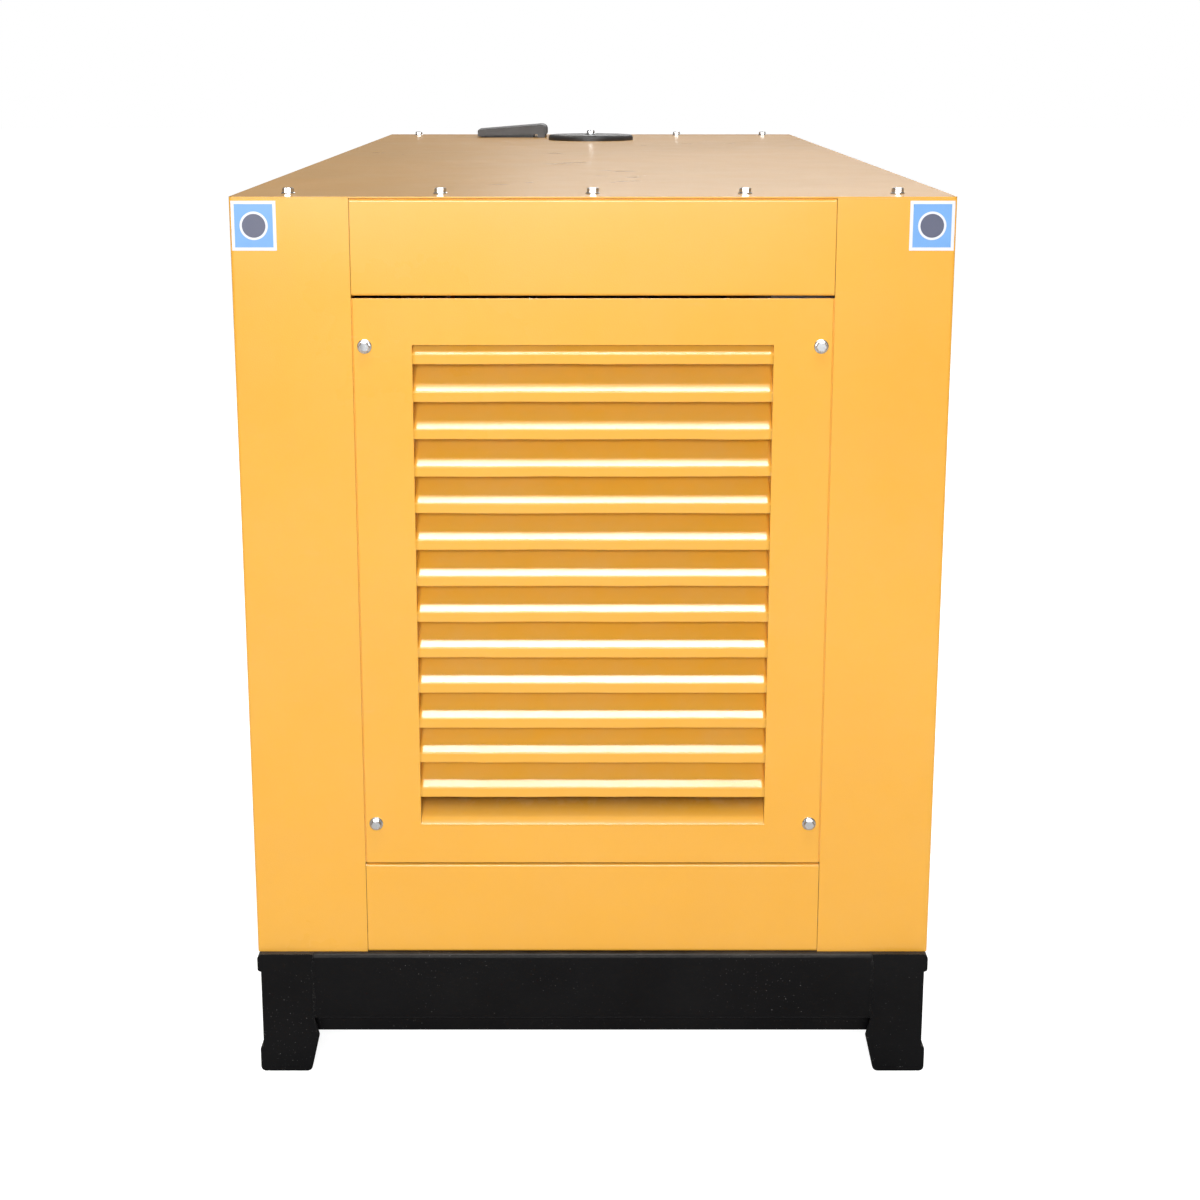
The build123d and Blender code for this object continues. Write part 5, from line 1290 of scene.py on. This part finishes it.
def batteryDetails():
    low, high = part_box("battery")
    left, right = low.x + battery["caseSide"], high.x - battery["caseSide"]
    top = high.z - battery["lidDrop"]
    near, far = low.y + battery["near"], low.y + battery["far"]
    nearLeft, farRight = (left, near, top), (right, far, top)
    builder = bmesh.new()
    # lid with a raised middle, then the cell caps
    shiftedBlock(builder, nearLeft, (-1, -1, -26), farRight, (1, 1, -20), 2)
    shiftedBlock(builder, nearLeft, (62, 52, -2), farRight, (-62, -40, 7), 3)
    cap = [(12, 0), (12, 4), (11, 6), (4, 6.5), (3.5, 5.2), (0, 5.2)]
    shift, ends, last = battery["capShift"], battery["capEnds"], battery["caps"] - 1
    for number in range(battery["caps"]):
        x = left + ends + number * (right - left - 2 * ends) / last
        turnedMm(builder, cap, (x, (near + far) / 2 + shift, top + shift), (0, 0, 1), 24)
    putOn(finishPiece("batteryLid", builder, "black_plastic"), "frame", "black_plastic")
    builder = bmesh.new()
    clamp = [(10, 1), (16, 1), (16, 11), (14, 13), (10, 13)]
    for x in (left + battery["postEnds"], right - battery["postEnds"]):
        turnedMm(builder, clamp, (x, near + battery["postEnds"], top), (0, 0, 1), 28)
        place = (x, near, top)
        shiftedBlock(builder, place, (-7, 12, 2), place, (7, 25, 11), 1.5)
    putOn(finishPiece("batteryClamps", builder, "lead_grey"), "frame", "steel")
    builder = bmesh.new()
    # hold-down bar across the case with its two threaded hooks
    middle = (left + right) / 2
    shiftedBlock(builder, (middle, near, top), (-12, -12, 7), (middle, far, top), (12, 12, 11), 1)
    hook = [(0, -228), (3, -228), (3, 24), (0, 24)]
    for y in (near - battery["hookOut"], far + battery["hookOut"]):
        turnedMm(builder, hook, (middle, y, top), (0, 0, 1), 12)
    putOn(finishPiece("batteryHoldDown", builder, "zinc"), "frame", "zinc")


batteryDetails()
print("stage: battery details made")


# control panel

controls = dict(keyStep=25 * mm, keyRise=22 * mm, lampDrop=20 * mm, lampStep=16 * mm, lampSide=56 * mm,
                barStep=8 * mm, bars=8, screwIn=10 * mm, screwHeights=(650 * mm, 845 * mm, 1040 * mm))


def controlDetails():
    low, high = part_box("controller")
    face = high.x
    middle = (low.y + high.y) / 2
    builder = bmesh.new()
    # raised bezel, screen, five keys and three lamps
    shiftedBlock(builder, (face, low.y, low.z), (-1, 5, 5), (face, high.y, high.z), (1.6, -5, -5), 1.2, 3, 0)
    screenTop = (face, middle, high.z)
    shiftedBlock(builder, screenTop, (0, -42, -60), screenTop, (2.6, 42, -12), 0.8, 2, 0)
    shiftedBlock(builder, screenTop, (0, -36, -55), screenTop, (2.9, 36, -17), 0.4, 2, 1)
    key, lamp = [(8.5, 0), (8.5, 2.4), (7.2, 3.4), (0, 3.6)], [(3, 1), (3, 2.4), (1.8, 3.4), (0, 3.7)]
    for number, finish in enumerate((4, 2, 2, 2, 3)):
        y = middle + (number - 2) * controls["keyStep"]
        turnedMm(builder, key, (face, y, low.z + controls["keyRise"]), (1, 0, 0), 32, finish)
    for number, finish in enumerate((3, 5, 4)):
        z = high.z - controls["lampDrop"] - number * controls["lampStep"]
        turnedMm(builder, lamp, (face, middle + controls["lampSide"], z), (1, 0, 0), 20, finish)
    panel = finishPiece("controllerFront", builder, "black_plastic", "screen_green", "key_grey", "lamp_green",
                        "red_plastic", "lamp_amber")
    putOn(panel, "frame", "black_plastic")
    # bars of a plain level display, no figures
    points = [(face + 2.9 * mm, middle + (number - 3.5) * controls["barStep"],
               high.z + (number % 3 - 47) * mm)
              for number in range(controls["bars"])]
    source = pointMesh("screenBars", points, [(0, 0, 1)] * len(points))
    bars = runTree(source, "bars", "screenBars", Bar_Size=(0.2 * mm, 4 * mm, 11 * mm),
                   Finish=materials["badge_dark"])
    putOn(bars, "frame", "black_plastic")
    boxLow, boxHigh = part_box("control_box")
    points = [(boxHigh.x, y, z) for y in (boxLow.y + controls["screwIn"], boxHigh.y - controls["screwIn"])
              for z in controls["screwHeights"]]
    screws = flangeBolts("fasciaScrews", points, [(1, 0, 0)] * len(points), Head_Radius=4.0 * mm,
                         Head_Height=2.2 * mm, Flange_Radius=5.2 * mm, Flange_Height=0.9 * mm,
                         Finish=materials["zinc"])
    putOn(screws, "frame", "zinc")
    # collar behind the stop button, and a ring round the key
    stopLow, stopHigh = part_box("stop_button")
    keyLow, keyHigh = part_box("key_switch")
    builder = bmesh.new()
    stopCentre = (boxHigh.x, (stopLow.y + stopHigh.y) / 2, (stopLow.z + stopHigh.z) / 2)
    collar = [(17.2, 0), (25.5, 0), (25.5, 1.6), (24.5, 2.4), (17.8, 2.4)]
    turnedMm(builder, collar, stopCentre, (1, 0, 0), 40, 0)
    putOn(finishPiece("stopCollar", builder, "collar_yellow"), "frame")
    builder = bmesh.new()
    keyCentre = (boxHigh.x, (keyLow.y + keyHigh.y) / 2, (keyLow.z + keyHigh.z) / 2)
    ring = [(11.4, 0), (16.5, 0), (16, 1.5), (11.4, 1.8)]
    turnedMm(builder, ring, keyCentre, (1, 0, 0), 40, 0)
    putOn(finishPiece("keyRing", builder, "key_metal"), "frame", "key_metal")


controlDetails()
print("stage: control panel made")


# floor, light and camera

studio = dict(floorTone=(0.55, 0.55, 0.55), floorGlow=0.03, seenGlow=0.92, sky=0.19, seenSky=1.0, key=30.0,
              sheen=104.0, front=148.0, side=120.0, back=84.0, roof=110.0)


def seenOrNot(tree, unseen, seen):
    # one strength for the light it gives, another for how white the backdrop looks
    cameraRay = tree.nodes.new("ShaderNodeLightPath").outputs["Is Camera Ray"]
    return addRange(tree, cameraRay, 0.0, 1.0, unseen, seen)


def makeStage():
    # wide plain floor, lit a little from within as a light table is
    builder = bmesh.new()
    bmesh.ops.create_grid(builder, x_segments=4, y_segments=4, size=40.0)
    material = bpy.data.materials.new("studioFloor")
    material.use_nodes = True
    tree = material.node_tree
    shader = tree.nodes["Principled BSDF"]
    shader.inputs["Roughness"].default_value = 0.9
    shader.inputs["Specular IOR Level"].default_value = 0.1
    shader.inputs["Emission Color"].default_value = (1.0, 1.0, 1.0, 1.0)
    glow = seenOrNot(tree, studio["floorGlow"], studio["seenGlow"])
    tree.links.new(glow, shader.inputs["Emission Strength"])
    place = tree.nodes.new("ShaderNodeTexCoord").outputs["Object"]
    patches = addNoise(tree, place, 1.5, 3.0, 0.5)
    low = tuple(value * 0.985 for value in studio["floorTone"])
    tone = mixColours(tree, patches, fourth(low), fourth(studio["floorTone"]))
    tree.links.new(tone, shader.inputs["Base Color"])
    materials["studioFloor"] = material
    meshPiece("studioFloor", builder, "studioFloor")


def softLight(name, place, target, size, power, mirrored=True, lights=True):
    light = bpy.data.lights.new(name, "AREA")
    light.shape = "RECTANGLE"
    light.size, light.size_y = size
    light.energy = power
    lamp = bpy.data.objects.new(name, light)
    lamp.location = place
    lamp.rotation_euler = (Vector(target) - Vector(place)).to_track_quat("-Z", "Y").to_euler()
    lamp.visible_glossy = mirrored  # lamps left out of reflections do not burn the roof white
    lamp.visible_diffuse = lights  # a lamp seen in reflections only gives sheen and no light
    collection.objects.link(lamp)
    return lamp


makeStage()
softLight("keyStrip", (0.0, -1.98, 3.45), (0.0, -1.15, 0.65), (2.2, 0.34), studio["key"])
softLight("sheenStrip", (0.0, -1.72, 3.5), (0.0, -1.30, 0.65), (2.2, 0.9), studio["sheen"], True, False)
softLight("frontSoftbox", (-0.3, -5.4, 1.8), (0.0, -1.1, 0.8), (2.2, 1.2), studio["front"])
softLight("sideSoftbox", (5.0, 0.4, 2.4), (0.4, 0.0, 0.6), (3.0, 2.4), studio["side"], False)
softLight("farSideSoftbox", (-5.0, 1.4, 2.4), (-0.4, 0.0, 0.6), (3.0, 2.4), studio["side"], False)
softLight("backSoftbox", (0.8, 5.2, 3.8), (0.0, 1.1, 0.6), (2.6, 2.0), studio["back"])
softLight("roofSoftbox", (0.3, 0.7, 5.2), (0.0, 0.4, 1.0), (3.0, 2.6), studio["roof"], False)

world = bpy.data.worlds.new("studioWorld")
world.use_nodes = True
worldTree = world.node_tree
background = worldTree.nodes["Background"]
background.inputs["Color"].default_value = (1.0, 1.0, 1.0, 1.0)
worldTree.links.new(seenOrNot(worldTree, studio["sky"], studio["seenSky"]), background.inputs["Strength"])
bpy.context.scene.world = world
bpy.context.scene.view_settings.view_transform = "Standard"

camera = bpy.data.cameras.new("camera")
camera.sensor_width = 36.0
camera.lens = 64.87
camera.shift_x = 0.0102
viewer = bpy.data.objects.new("camera", camera)
viewer.location = (-0.0064, -3.8577, 1.3339)
viewer.rotation_euler = (math.radians(75.97), 0.0, 0.0)
collection.objects.link(viewer)
bpy.context.scene.camera = viewer
print("stage: floor, lights and camera set")
